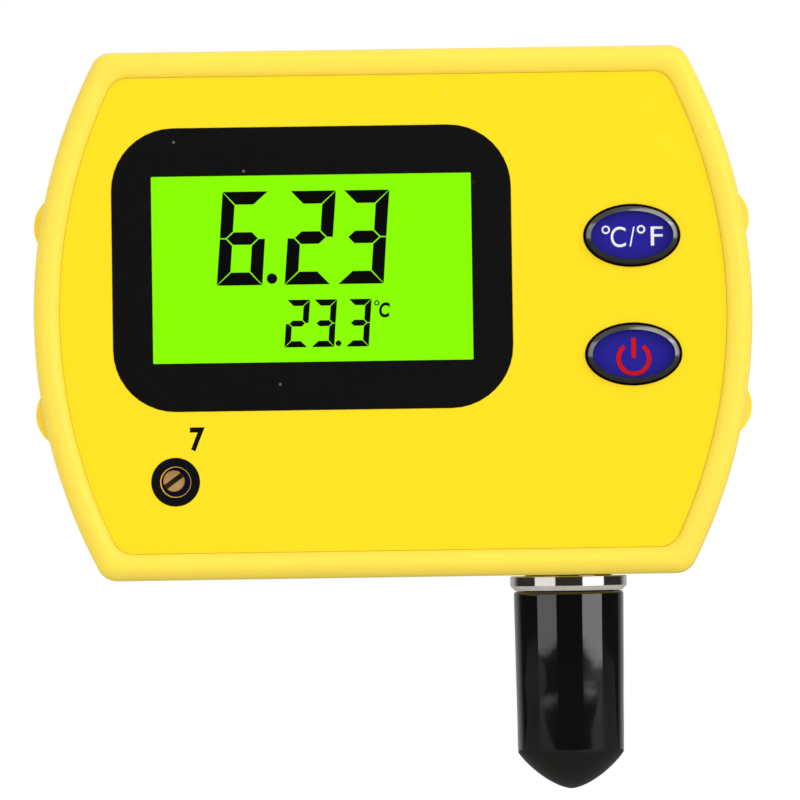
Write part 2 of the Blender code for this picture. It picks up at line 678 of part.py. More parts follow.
def make_rear_shell(shop):
    rings = [(case_outline(0.0), REAR_EDGE_Y), (case_outline(0.0), -BACK_ROUND)]
    for step in range(1, BACK_STEPS + 1):
        angle = math.pi / 2 * step / BACK_STEPS
        inset = BACK_ROUND * (1 - math.cos(angle))
        rings.append((case_outline(inset), BACK_ROUND * (math.sin(angle) - 1)))
    shell = shop.part("rear_shell", loft_mesh("rear_shell", rings), "yellow")

    room = [(case_outline(WALL), REAR_EDGE_Y - CUT_MARGIN), (case_outline(WALL), -WALL)]
    combine(shell, shop.cutter("rear_room", loft_mesh("rear_room", room)))

    posts = bmesh.new()
    for place in POST_PLACES:
        full = circle(POST_RADIUS, place, ROUND_STEPS)
        drawn_in = circle(POST_RADIUS - POST_BEVEL, place, ROUND_STEPS)
        end = -POST_BACK_SET
        add_loft(posts, [(full, REAR_EDGE_Y + GAP), (full, end - POST_BEVEL), (drawn_in, end)])
    combine(shell, shop.cutter("rear_posts", finish_mesh("rear_posts", posts)), "UNION")

    lip = frame_mesh(
        "rear_lip",
        case_outline(LIP_INSET),
        case_outline(LIP_INSET + LIP_THICKNESS),
        REAR_EDGE_Y - LIP_DEPTH,
        REAR_EDGE_Y + CUT_MARGIN,
    )
    combine(shell, shop.cutter("rear_lip", lip), "UNION")

    bay_low = (BAY_LEFT_X - BAY_WALL, BAY_FLOOR_Y - BAY_WALL, BAY_BOTTOM_Z - BAY_WALL)
    bay_high = (BAY_RIGHT_X + BAY_WALL, -WALL / 2, BAY_TOP_Z + BAY_WALL)
    combine(shell, shop.cutter("bay_block", box_mesh("bay_block", bay_low, bay_high)), "UNION")

    bay_low = (BAY_LEFT_X, BAY_FLOOR_Y, BAY_BOTTOM_Z)
    bay_high = (BAY_RIGHT_X, CUT_MARGIN, BAY_TOP_Z)
    combine(shell, shop.cutter("bay_room", box_mesh("bay_room", bay_low, bay_high)))

    middle = (0.0, (DOOR_TOP_Z + DOOR_BOTTOM_Z) / 2)
    recess = rounded_rectangle(
        DOOR_WIDTH + 2 * GAP, DOOR_TOP_Z - DOOR_BOTTOM_Z + 2 * GAP, DOOR_CORNER_RADIUS + GAP, middle
    )
    recess_mesh = prism_mesh("door_recess", recess, DOOR_FRONT_Y - GAP, CUT_MARGIN)
    combine(shell, shop.cutter("door_recess", recess_mesh))

    slots = bmesh.new()
    slot_back = DOOR_TONGUE_BACK_Y + GAP
    slot_front = DOOR_BACK_Y - DOOR_TONGUE_SWING - GAP
    for side in (-1, 1):
        centre_x = side * DOOR_TONGUE_PITCH / 2
        half = DOOR_TONGUE_WIDTH / 2 + GAP
        low = (centre_x - half, slot_front, BAY_TOP_Z - CUT_MARGIN)
        high = (centre_x + half, slot_back, DOOR_TOP_Z + DOOR_TONGUE_REACH + GAP)
        add_box(slots, low, high)
    for cell_z in (UPPER_CELL_Z, LOWER_CELL_Z):
        half = CONTACT_TAIL_WIDTH / 2 + GAP
        plate_end = RIGHT_PLATE_X + CONTACT_PLATE_THICKNESS
        low = (RIGHT_PLATE_X - CONTACT_SLOT_MARGIN, BAY_FLOOR_Y - BAY_WALL - CUT_MARGIN, cell_z - half)
        high = (plate_end + CONTACT_SLOT_MARGIN, BAY_FLOOR_Y + CUT_MARGIN, cell_z + half)
        add_box(slots, low, high)
    combine(shell, shop.cutter("bay_slots", finish_mesh("bay_slots", slots)))

    openings = bmesh.new()
    keyhole = keyhole_outline()
    add_loft(openings, [(keyhole, -WALL - CUT_MARGIN), (keyhole, CUT_MARGIN)])
    notch = (0.0, DOOR_BOTTOM_Z)
    add_pillar(openings, THUMB_NOTCH_RADIUS, notch, -THUMB_NOTCH_DEPTH, CUT_MARGIN, ROUND_STEPS)
    for place in POST_PLACES:
        add_pillar(openings, CASE_SCREW_HEAD_RADIUS + GAP, place, CASE_SCREW_SEAT_Y, CUT_MARGIN)
    combine(shell, shop.cutter("rear_openings", finish_mesh("rear_openings", openings)))

    shank = CASE_SCREW_SHANK_RADIUS + GAP
    ends = (REAR_EDGE_Y - LIP_DEPTH - CUT_MARGIN, CASE_SCREW_SEAT_Y + CUT_MARGIN)
    screw_holes = pillars_mesh("rear_screw_holes", shank, POST_PLACES, *ends)
    combine(shell, shop.cutter("rear_screw_holes", screw_holes))

    hole = bmesh.new()
    add_upright(hole, JACK_COLLAR_RADIUS + GAP, BOTTOM_Z - CUT_MARGIN, FLOOR_Z + CUT_MARGIN)
    combine(shell, shop.cutter("jack_hole", finish_mesh("jack_hole", hole), (JACK_X, JACK_Y, 0.0)))


def make_screws(shop):
    """Pan-head screws along Y: the case's from the back, the board's into the front shell."""
    rows = [
        ("case_screw", POST_PLACES, CASE_SCREW_SEAT_Y + GAP, CASE_TIP_Y),
        ("board_screw", BOARD_SCREW_PLACES, BOARD_BACK_Y + GAP, BOARD_TIP_Y),
    ]
    sizes = {
        "case_screw": (CASE_SCREW_SHANK_RADIUS, CASE_SCREW_HEAD_RADIUS, CASE_SCREW_HEAD_HEIGHT),
        "board_screw": (BOARD_SCREW_SHANK_RADIUS, BOARD_SCREW_HEAD_RADIUS, BOARD_SCREW_HEAD_HEIGHT),
    }
    for name, places, seat, tip in rows:
        shank, head, height = sizes[name]
        profile = [
            (0.0, seat + height),
            (head - height / 2, seat + height),
            (head, seat + height / 2),
            (head, seat),
            (shank, seat),
            (shank, tip + shank),
            (0.0, tip),
        ]
        data = profile_mesh(name, profile)
        for number, (x, z) in enumerate(places, 1):
            screw = shop.part(f"{name}_{number}", data, "steel", (x, 0.0, z))
            screw.rotation_euler.x = -math.pi / 2
            turn_on_lathe(screw, SMALL_STEPS)


def make_face(shop):
    outline = case_outline(RIM_WIDTH + FILM_GAP)
    overlay_mesh = prism_mesh("face_overlay", outline, OVERLAY_FRONT_Y, OVERLAY_BACK_Y)
    overlay = shop.part("face_overlay", overlay_mesh, "film")
    centre = (DISPLAY_X, DISPLAY_Z)
    bezel = rounded_rectangle(BEZEL_WIDTH, BEZEL_HEIGHT, BEZEL_CORNER_RADIUS, centre)
    bezel_hole = rounded_rectangle(
        BEZEL_WIDTH + 2 * FILM_GAP, BEZEL_HEIGHT + 2 * FILM_GAP, BEZEL_CORNER_RADIUS + FILM_GAP, centre
    )
    loops = [bezel_hole, circle(TRIMMER_FILM_HOLE_RADIUS, (TRIMMER_X, TRIMMER_Z), ROUND_STEPS)]
    for button_z in (UPPER_BUTTON_Z, LOWER_BUTTON_Z):
        loops.append(oval(BUTTON_WIDTH + 2 * GAP, BUTTON_HEIGHT + 2 * GAP, (BUTTON_X, button_z)))
    holes = bmesh.new()
    for loop in loops:
        add_loft(holes, [(loop, OVERLAY_FRONT_Y - CUT_MARGIN), (loop, OVERLAY_BACK_Y + CUT_MARGIN)])
    combine(overlay, shop.cutter("overlay_holes", finish_mesh("overlay_holes", holes)))

    view = rounded_rectangle(VIEW_WIDTH, VIEW_HEIGHT, VIEW_CORNER_RADIUS, centre)
    bezel_mesh = frame_mesh("display_bezel", bezel, view, OVERLAY_BACK_Y - BEZEL_THICKNESS, OVERLAY_BACK_Y)
    shop.part("display_bezel", bezel_mesh, "black")

    window = rounded_rectangle(
        VIEW_WIDTH + 2 * WINDOW_LAP, VIEW_HEIGHT + 2 * WINDOW_LAP, WINDOW_LAP - GAP, centre
    )
    window_mesh = prism_mesh("display_window", window, FACE_Y, FACE_Y + WINDOW_THICKNESS)
    shop.part("display_window", window_mesh, "clear")


def make_display(shop):
    centre = Vector((DISPLAY_X, 0.0, DISPLAY_Z))

    def block(name, half_x, half_z, front_y, back_y, material, shift=(0.0, 0.0)):
        low = (-half_x + shift[0], front_y, -half_z + shift[1])
        high = (half_x + shift[0], back_y, half_z + shift[1])
        shop.part(name, box_mesh(name, low, high), material, centre)

    seat_y = BOARD_FRONT_Y - GAP
    block("lcd_cell", LCD_WIDTH / 2, LCD_HEIGHT / 2, LCD_FRONT_Y, LCD_BACK_Y, "green")
    half = (BACKLIGHT_WIDTH / 2, BACKLIGHT_HEIGHT / 2)
    block("backlight_panel", *half, BACKLIGHT_FRONT_Y, BACKLIGHT_BACK_Y, "white")
    led_x = BACKLIGHT_WIDTH / 2 + GAP + LED_LENGTH / 2
    strip_z = LCD_HEIGHT / 2 - ZEBRA_WIDTH / 2
    for word, side in (("left", -1), ("right", 1)):
        name = f"backlight_led_{word}"
        shift = (side * led_x, 0.0)
        block(name, LED_LENGTH / 2, LED_HEIGHT / 2, seat_y - LED_DEPTH, seat_y, "white", shift)
    for word, side in (("upper", 1), ("lower", -1)):
        name = f"zebra_strip_{word}"
        shift = (0.0, side * strip_z)
        block(name, LCD_WIDTH / 2, ZEBRA_WIDTH / 2, LCD_BACK_Y + GAP, seat_y, "rubber", shift)

    room = 2 * GAP
    wall = room + 2 * HOLDER_WALL
    outer = rounded_rectangle(LCD_WIDTH + wall, LCD_HEIGHT + wall, HOLDER_CORNER_RADIUS)
    inner = rounded_rectangle(LCD_WIDTH + room, LCD_HEIGHT + room, GAP)
    shop.part("lcd_holder", frame_mesh("lcd_holder", outer, inner, LCD_FRONT_Y, seat_y), "white", centre)


def make_board(shop):
    outline = rounded_rectangle(BOARD_WIDTH, BOARD_HEIGHT, BOARD_CORNER_RADIUS)
    board = shop.part("main_board", prism_mesh("main_board", outline, BOARD_FRONT_Y, BOARD_BACK_Y), "board")
    ends = (BOARD_FRONT_Y - CUT_MARGIN, BOARD_BACK_Y + CUT_MARGIN)
    radius = BOARD_SCREW_SHANK_RADIUS + GAP
    holes = pillars_mesh("board_holes", radius, BOARD_SCREW_PLACES, *ends)
    combine(board, shop.cutter("board_holes", holes))

    seat = BOARD_BACK_Y + GAP
    controller = rounded_rectangle(CONTROLLER_SIZE, CONTROLLER_SIZE, CHIP_CORNER_RADIUS)
    amplifier = rounded_rectangle(*AMPLIFIER_SIZE, CHIP_CORNER_RADIUS)
    crystal = rounded_rectangle(*CRYSTAL_SIZE, CRYSTAL_CORNER_RADIUS)
    flat_parts = [
        ("controller_chip", controller, CONTROLLER_HEIGHT, CONTROLLER_PLACE, "chip"),
        ("amplifier_chip", amplifier, AMPLIFIER_HEIGHT, AMPLIFIER_PLACE, "chip"),
        ("crystal", crystal, CRYSTAL_HEIGHT, CRYSTAL_PLACE, "steel"),
    ]
    for name, outline, height, place, material in flat_parts:
        data = prism_mesh(name, outline, seat, seat + height)
        shop.part(name, data, material, (place[0], 0.0, place[1]))
    can = pillars_mesh("capacitor", CAPACITOR_RADIUS, [CAPACITOR_PLACE], seat, seat + CAPACITOR_HEIGHT)
    shop.part("capacitor", can, "chip")
    bead = bmesh.new()
    rows = BEAD_STEPS // 2
    bmesh.ops.create_uvsphere(bead, u_segments=BEAD_STEPS, v_segments=rows, radius=THERMISTOR_RADIUS)
    place = (THERMISTOR_PLACE[0], seat + THERMISTOR_RADIUS, THERMISTOR_PLACE[1])
    shop.part("thermistor", finish_mesh("thermistor", bead), "chip", place)


def make_button(shop, name, button_z):
    """A black body with a flange and stem, a blue insert, a bevelled clear lens, and its tact switch."""
    axis = shop.pivot(f"{name}_axis", (BUTTON_X, 0.0, button_z))
    insert_width = BUTTON_WIDTH - 2 * BUTTON_INSERT_MARGIN
    insert_height = BUTTON_HEIGHT - 2 * BUTTON_INSERT_MARGIN
    body_front = OVERLAY_FRONT_Y
    insert_back = body_front + FILM_GAP + BUTTON_INSERT_THICKNESS

    rim = oval(BUTTON_WIDTH, BUTTON_HEIGHT)
    flange = oval(BUTTON_WIDTH + 2 * BUTTON_FLANGE, BUTTON_HEIGHT + 2 * BUTTON_FLANGE)
    stem = circle(BUTTON_STEM_RADIUS, steps=OVAL_STEPS)
    rings = [(rim, body_front), (rim, FLANGE_FRONT_Y), (flange, FLANGE_FRONT_Y), (flange, FLANGE_BACK_Y)]
    rings += [(stem, FLANGE_BACK_Y), (stem, PLUNGER_FRONT_Y - GAP)]
    body = shop.part(f"{name}_body", loft_mesh(f"{name}_body", rings), "black", parent=axis)
    pocket = oval(insert_width + 2 * FILM_GAP, insert_height + 2 * FILM_GAP)
    pocket_mesh = prism_mesh(f"{name}_pocket", pocket, body_front - CUT_MARGIN, insert_back + FILM_GAP)
    combine(body, shop.cutter(f"{name}_pocket", pocket_mesh, (BUTTON_X, 0.0, button_z)))

    insert = oval(insert_width, insert_height)
    insert_mesh = prism_mesh(f"{name}_insert", insert, body_front + FILM_GAP, insert_back)
    shop.part(f"{name}_insert", insert_mesh, "blue", parent=axis)

    wide = oval(BUTTON_WIDTH - 2 * BUTTON_LENS_MARGIN, BUTTON_HEIGHT - 2 * BUTTON_LENS_MARGIN)
    shrink = 2 * (BUTTON_LENS_MARGIN + BUTTON_LENS_BEVEL)
    narrow = oval(BUTTON_WIDTH - shrink, BUTTON_HEIGHT - shrink)
    lens_back = body_front - FILM_GAP
    lens_front = lens_back - BUTTON_LENS_HEIGHT
    edge_y = lens_front + BUTTON_LENS_BEVEL
    lens_mesh = loft_mesh(f"{name}_lens", [(narrow, lens_front), (wide, edge_y), (wide, lens_back)])
    shop.part(f"{name}_lens", lens_mesh, "clear", parent=axis)

    plunger_mesh = pillars_mesh(
        f"{name}_plunger", PLUNGER_RADIUS, [(0.0, 0.0)], PLUNGER_FRONT_Y, PLUNGER_BACK_Y
    )
    shop.part(f"{name}_plunger", plunger_mesh, "chip", parent=axis)

    half = SWITCH_SIZE / 2
    switch_mesh = box_mesh(f"{name}_switch", (-half, SWITCH_FRONT_Y, -half), (half, SWITCH_BACK_Y, half))
    switch = shop.part(f"{name}_switch", switch_mesh, "chip", (BUTTON_X, 0.0, button_z))
    well = (SWITCH_FRONT_Y - CUT_MARGIN, PLUNGER_BACK_Y + PLUNGER_TRAVEL + GAP)
    well_mesh = pillars_mesh(f"{name}_well", PLUNGER_RADIUS + GAP, [(0.0, 0.0)], *well)
    combine(switch, shop.cutter(f"{name}_well", well_mesh, (BUTTON_X, 0.0, button_z)))


def make_trimmer(shop):
    axis = (TRIMMER_AXIS_X, 0.0, TRIMMER_AXIS_Z)
    half_x = TRIMMER_WIDTH / 2
    half_z = TRIMMER_HEIGHT / 2
    low = (-half_x, TRIMMER_FRONT_Y, -half_z)
    high = (half_x, TRIMMER_BACK_Y, half_z)
    body = shop.part("trimmer_body", box_mesh("trimmer_body", low, high), "blue", axis)
    neck_end = TRIMMER_FRONT_Y + TRIMMER_NECK_LENGTH
    ends = (TRIMMER_FRONT_Y - CUT_MARGIN, neck_end + GAP)
    well = pillars_mesh("trimmer_well", TRIMMER_NECK_RADIUS + GAP, [(0.0, 0.0)], *ends)
    combine(body, shop.cutter("trimmer_well", well, axis))

    head = circle(TRIMMER_HEAD_RADIUS, steps=TRIMMER_STEPS)
    neck = circle(TRIMMER_NECK_RADIUS, steps=TRIMMER_STEPS)
    rings = [(head, TRIMMER_HEAD_FRONT_Y), (head, TRIMMER_HEAD_BACK_Y)]
    rings += [(neck, TRIMMER_HEAD_BACK_Y), (neck, neck_end)]
    screw = shop.part("trimmer_screw", loft_mesh("trimmer_screw", rings), "brass", axis)
    long = TRIMMER_HEAD_RADIUS + CUT_MARGIN
    low = (-long, TRIMMER_HEAD_FRONT_Y - CUT_MARGIN, -TRIMMER_SLOT_WIDTH / 2)
    high = (long, TRIMMER_HEAD_FRONT_Y + TRIMMER_SLOT_DEPTH, TRIMMER_SLOT_WIDTH / 2)
    slot = shop.cutter("trimmer_slot", box_mesh("trimmer_slot", low, high), axis)
    slot.rotation_euler.y = -TRIMMER_SLOT_ANGLE
    combine(screw, slot)


def make_jack(shop):
    place = (JACK_X, JACK_Y, 0.0)
    shoulder_z = FLANGE_BOTTOM_Z
    profile = [
        (JACK_TAIL_BORE_RADIUS, JACK_TOP_Z),
        (JACK_TAIL_RADIUS, JACK_TOP_Z),
        (JACK_TAIL_RADIUS, FLANGE_TOP_Z),
        (JACK_FLANGE_RADIUS, FLANGE_TOP_Z),
        (JACK_FLANGE_RADIUS, FLANGE_BOTTOM_Z),
        (JACK_COLLAR_RADIUS, FLANGE_BOTTOM_Z),
        (JACK_COLLAR_RADIUS, COLLAR_BOTTOM_Z + JACK_CHAMFER),
        (JACK_COLLAR_RADIUS - JACK_CHAMFER, COLLAR_BOTTOM_Z),
        (JACK_BARREL_RADIUS, COLLAR_BOTTOM_Z),
        (JACK_BARREL_RADIUS, JACK_END_Z + JACK_CHAMFER),
        (JACK_BARREL_RADIUS - JACK_CHAMFER, JACK_END_Z),
        (JACK_MOUTH_RADIUS, JACK_END_Z),
        (JACK_MOUTH_RADIUS, JACK_MOUTH_TOP_Z),
        (JACK_BORE_RADIUS, JACK_MOUTH_TOP_Z),
        (JACK_BORE_RADIUS, shoulder_z),
        (JACK_TAIL_BORE_RADIUS, shoulder_z),
    ]
    jack = shop.part("bnc_jack", profile_mesh("bnc_jack", profile, ring=True), "nickel", place)
    turn_on_lathe(jack)
    lugs = bmesh.new()
    wall_middle = (JACK_BARREL_RADIUS + JACK_MOUTH_RADIUS) / 2
    for side in (-1, 1):
        low = side * wall_middle
        high = side * JACK_LUG_REACH
        middle = Vector(((low + high) / 2, 0.0, JACK_LUG_Z))
        bmesh.ops.create_cone(
            lugs,
            cap_ends=True,
            segments=SMALL_STEPS,
            radius1=JACK_LUG_RADIUS,
            radius2=JACK_LUG_RADIUS,
            depth=abs(high - low),
            matrix=Matrix.Translation(middle) @ Matrix.Rotation(math.pi / 2, 4, "Y"),
        )
    combine(jack, shop.cutter("jack_lugs", finish_mesh("jack_lugs", lugs), place), "UNION")

    bore = CONTACT_RADIUS + GAP
    sleeve = JACK_BORE_RADIUS - GAP
    profile = [
        (bore, shoulder_z - GAP),
        (sleeve, shoulder_z - GAP),
        (sleeve, JACK_MOUTH_TOP_Z),
        (INSULATOR_NOSE_RADIUS, JACK_MOUTH_TOP_Z),
        (INSULATOR_NOSE_RADIUS, JACK_END_Z + INSULATOR_RECESS),
        (bore, JACK_END_Z + INSULATOR_RECESS),
    ]
    sleeve_mesh = profile_mesh("bnc_insulator", profile, ring=True)
    turn_on_lathe(shop.part("bnc_insulator", sleeve_mesh, "white", place), SMALL_STEPS)

    contact_end = JACK_END_Z + INSULATOR_RECESS + CONTACT_RECESS
    contact_top = JACK_TOP_Z + CONTACT_TAIL_LENGTH
    profile = [
        (0.0, contact_top),
        (CONTACT_TAIL_RADIUS, contact_top),
        (CONTACT_TAIL_RADIUS, shoulder_z - GAP),
        (CONTACT_RADIUS, shoulder_z - GAP),
        (CONTACT_RADIUS, contact_end),
        (CONTACT_BORE_RADIUS, contact_end),
        (CONTACT_BORE_RADIUS, contact_end + CONTACT_BORE_DEPTH),
        (0.0, contact_end + CONTACT_BORE_DEPTH),
    ]
    contact = shop.part("bnc_centre_contact", profile_mesh("bnc_centre_contact", profile), "brass", place)
    turn_on_lathe(contact, SMALL_STEPS)

    bore = JACK_COLLAR_RADIUS + GAP
    profile = [
        (bore, NUT_TOP_Z),
        (NUT_RADIUS, NUT_TOP_Z),
        (NUT_RADIUS, NUT_BOTTOM_Z + NUT_CHAMFER),
        (NUT_RADIUS - NUT_CHAMFER, NUT_BOTTOM_Z),
        (bore, NUT_BOTTOM_Z),
    ]
    nut_mesh = profile_mesh("bnc_ring_nut", profile, ring=True)
    turn_on_lathe(shop.part("bnc_ring_nut", nut_mesh, "nickel", place))

    ring = bmesh.new()
    add_upright(ring, JACK_FLANGE_RADIUS, TAG_BOTTOM_Z, TAG_TOP_Z)
    tag = shop.part("solder_tag", finish_mesh("solder_tag", ring), "brass", place)
    tab_end = -JACK_FLANGE_RADIUS - TAG_LENGTH
    tab = box_mesh("tag_tab", (tab_end, -TAG_WIDTH / 2, TAG_BOTTOM_Z), (0.0, TAG_WIDTH / 2, TAG_TOP_Z))
    combine(tag, shop.cutter("tag_tab", tab, place), "UNION")
    hole = bmesh.new()
    add_upright(hole, bore, TAG_BOTTOM_Z - CUT_MARGIN, TAG_TOP_Z + CUT_MARGIN)
    combine(tag, shop.cutter("tag_hole", finish_mesh("tag_hole", hole), place))


def cap_nose(radius, top_z, bottom_z, steps):
    """Half profile of the cap's blunt cone, from its shoulder to its tip."""
    points = []
    for step in range(steps + 1):
        along = step / steps
        shrink = (1 - along**CAP_NOSE_POWER) ** CAP_NOSE_ROUND
        points.append((radius * shrink, top_z + (bottom_z - top_z) * along))
    return points


def make_dust_cap(shop):
    shoulder_z = CAP_BOTTOM_Z + CAP_NOSE_LENGTH
    bore = JACK_COLLAR_RADIUS + GAP
    inside = cap_nose(bore, shoulder_z, CAP_BOTTOM_Z + CAP_END_WALL, NOSE_STEPS)
    outside = cap_nose(CAP_RADIUS - CAP_TAPER, shoulder_z, CAP_BOTTOM_Z, NOSE_STEPS)
    lip_centre = (CAP_RADIUS - CAP_LIP_ROUND, CAP_TOP_Z - CAP_LIP_ROUND)
    lip = arc(*lip_centre, CAP_LIP_ROUND, math.pi / 2, 0.0, LIP_STEPS)
    profile = [*reversed(inside), (bore, CAP_TOP_Z), *lip, *outside]
    cap = shop.part("dust_cap", profile_mesh("dust_cap", profile), "vinyl", (JACK_X, JACK_Y, 0.0))
    turn_on_lathe(cap)


def make_battery_door(shop):
    """The door turns on its outer top edge, with two tongues under the case wall and a latch leg below."""
    hinge = (0.0, DOOR_BACK_Y, DOOR_TOP_Z)
    height = DOOR_TOP_Z - DOOR_BOTTOM_Z
    outline = rounded_rectangle(DOOR_WIDTH, height, DOOR_CORNER_RADIUS, (0.0, -height / 2))
    panel = prism_mesh("battery_door", outline, -DOOR_THICKNESS, 0.0)
    door = shop.part("battery_door", panel, "yellow", hinge)
    fittings = bmesh.new()
    for side in (-1, 1):
        centre_x = side * DOOR_TONGUE_PITCH / 2
        half = DOOR_TONGUE_WIDTH / 2
        low = (centre_x - half, -DOOR_THICKNESS, -DOOR_CORNER_RADIUS)
        high = (centre_x + half, DOOR_TONGUE_THICKNESS - DOOR_THICKNESS, DOOR_TONGUE_REACH)
        add_box(fittings, low, high)
    leg_z = BAY_BOTTOM_Z + DOOR_LEG_SWING_GAP - DOOR_TOP_Z
    low = (-DOOR_LEG_WIDTH / 2, -DOOR_THICKNESS - DOOR_LEG_LENGTH, leg_z)
    high = (DOOR_LEG_WIDTH / 2, -DOOR_THICKNESS / 2, leg_z + DOOR_LEG_THICKNESS)
    add_box(fittings, low, high)
    combine(door, shop.cutter("door_fittings", finish_mesh("door_fittings", fittings), hinge), "UNION")


def make_cells(shop):
    """Two cells in series, each with its spring at the flat end and a contact plate at each end."""
    profile = [
        (0.0, CELL_LENGTH),
        (CELL_NUB_RADIUS, CELL_LENGTH),
        (CELL_NUB_RADIUS, CELL_LENGTH - CELL_NUB_LENGTH),
        (CELL_RADIUS - CELL_EDGE, CELL_LENGTH - CELL_NUB_LENGTH),
        (CELL_RADIUS, CELL_LENGTH - CELL_NUB_LENGTH - CELL_EDGE),
        (CELL_RADIUS, CELL_EDGE),
        (CELL_RADIUS - CELL_EDGE, 0.0),
        (0.0, 0.0),
    ]
    cell_data = profile_mesh("battery_cell", profile)
    flat_end = BAY_LENGTH / 2 - PLATE_ROOM - BAY_SPRING_SPACE
    for word, cell_z, way in (("upper", UPPER_CELL_Z, 1), ("lower", LOWER_CELL_Z, -1)):
        cell = shop.part(f"battery_cell_{word}", cell_data, "cell", (-way * flat_end, CELL_Y, cell_z))
        cell.rotation_euler.y = way * math.pi / 2
        turn_on_lathe(cell, CELL_STEPS)
        points = spring_points()
        data = tube_curve(f"battery_spring_{word}", points, SPRING_WIRE_RADIUS, SPRING_RESOLUTION)
        base_x = -way * (BAY_LENGTH / 2 - PLATE_ROOM)
        spring = shop.part(f"battery_spring_{word}", data, "steel", (base_x, CELL_Y, cell_z))
        spring.rotation_euler.y = way * math.pi / 2

    half = CONTACT_PLATE_WIDTH / 2
    tail = CONTACT_TAIL_WIDTH / 2
    front = CELL_Y - half
    back = CELL_Y + half
    tailed = [(back, -half), (back, half), (front, half), (front, tail)]
    tailed += [(CONTACT_TAIL_Y, tail), (CONTACT_TAIL_Y, -tail), (front, -tail), (front, -half)]
    plate_back = (-CONTACT_PLATE_THICKNESS, 0.0)
    for name, cell_z in (("contact_plus", UPPER_CELL_Z), ("contact_minus", LOWER_CELL_Z)):
        data = prism_mesh(name, tailed, *plate_back)
        plate = shop.part(name, data, "nickel", (RIGHT_PLATE_X, 0.0, cell_z))
        plate.rotation_euler.z = math.pi / 2
    link_loop = [(back, LOWER_CELL_Z - half), (back, UPPER_CELL_Z + half)]
    link_loop += [(front, UPPER_CELL_Z + half), (front, LOWER_CELL_Z - half)]
    data = prism_mesh("contact_link", link_loop, *plate_back)
    plate = shop.part("contact_link", data, "nickel", (BAY_LEFT_X + GAP, 0.0, 0.0))
    plate.rotation_euler.z = math.pi / 2


def spring_points():
    """A cone-shaped coil from the plate to the cell's flat end, along local Z."""
    count = int(SPRING_TURNS * SPRING_POINTS_PER_TURN)
    low = SPRING_WIRE_RADIUS
    high = BAY_SPRING_SPACE - GAP - SPRING_WIRE_RADIUS
    points = []
    for step in range(count + 1):
        along = step / count
        angle = math.tau * SPRING_TURNS * along
        radius = SPRING_BASE_RADIUS + (SPRING_TIP_RADIUS - SPRING_BASE_RADIUS) * along
        points.append((radius * math.cos(angle), radius * math.sin(angle), low + (high - low) * along))
    return points


def print_spring_gap():
    """Print the least gap of the spring's wire to itself, measured between turns."""
    points = [Vector(point) for point in spring_points()]
    apart = SPRING_POINTS_PER_TURN // 2
    least = min(
        (one - two).length for index, one in enumerate(points) for two in points[index + apart :]
    )
    print(f"spring wire clears itself by {(least - 2 * SPRING_WIRE_RADIUS) * 1000:.2f} mm")


def battery_lead_route(cell_z):
    """From a contact's tail straight forward, aside, and onto the back of the board."""
    tail_x = RIGHT_PLATE_X + CONTACT_PLATE_THICKNESS / 2
    start_y = CONTACT_TAIL_Y - GAP
    stub = (LEAD_SEAT_Y - start_y) * LEAD_STUB_SHARE
    end_x = tail_x + 2 * LEAD_BEND
    end_z = cell_z + LEAD_BEND
    return [
        (tail_x, start_y, cell_z),
        (tail_x, start_y + stub, cell_z),
        (tail_x + LEAD_BEND, (start_y + LEAD_SEAT_Y) / 2, cell_z + LEAD_BEND / 2),
        (end_x, LEAD_SEAT_Y - stub, end_z),
        (end_x, LEAD_SEAT_Y, end_z),
    ]


def jack_lead_route(start, leave):
    """From the jack, round the lower front edge of the battery bay, and onto the back of the board."""
    corner_y = BAY_FLOOR_Y - BAY_WALL - LEAD_CLEARANCE
    corner_z = BAY_BOTTOM_Z - BAY_WALL - LEAD_CLEARANCE
    end_z = LEAD_BEND - BOARD_HEIGHT / 2
    return [
        start,
        leave,
        (start[0], corner_y, corner_z),
        (start[0], (corner_y + LEAD_SEAT_Y) / 2, end_z),
        (start[0], LEAD_SEAT_Y, end_z),
    ]


def make_leads(shop):
    wire_y = JACK_Y - CONTACT_TAIL_RADIUS - GAP
    wire_z = JACK_TOP_Z + GAP + LEAD_RADIUS + FILM_GAP
    tab_x = JACK_X - JACK_FLANGE_RADIUS - TAG_LENGTH / 2
    foot_z = TAG_TOP_Z + GAP
    signal = jack_lead_route((JACK_X, wire_y, wire_z), (JACK_X, wire_y - LEAD_BEND, wire_z))
    ground = jack_lead_route((tab_x, JACK_Y, foot_z), (tab_x, JACK_Y, foot_z + LEAD_BEND / 2))
    rows = [
        ("battery_lead_plus", battery_lead_route(UPPER_CELL_Z), "red"),
        ("battery_lead_minus", battery_lead_route(LOWER_CELL_Z), "chip"),
        ("signal_lead", signal, "white"),
        ("ground_lead", ground, "chip"),
    ]
    for name, points, material in rows:
        shop.part(name, tube_curve(name, smooth_route(points), LEAD_RADIUS, LEAD_RESOLUTION), material)


def main():
    clear_scene()
    shop = Workshop()
    make_front_shell(shop)
    make_rear_shell(shop)
    make_screws(shop)
    make_face(shop)
    make_display(shop)
    make_board(shop)
    make_button(shop, "unit_button", UPPER_BUTTON_Z)
    make_button(shop, "power_button", LOWER_BUTTON_Z)
    make_trimmer(shop)
    make_jack(shop)
    make_dust_cap(shop)
    make_battery_door(shop)
    make_cells(shop)
    make_leads(shop)
    print_spring_gap()


main()
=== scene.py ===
"""A wall-hung pH meter: moulded yellow case, lit display, oval push buttons and a capped probe jack."""

import json
import math

import bmesh
import bpy
from bpy.props import FloatProperty, FloatVectorProperty, PointerProperty
from bpy.types import Operator, Panel, PropertyGroup
from mathutils import Matrix, Vector, noise

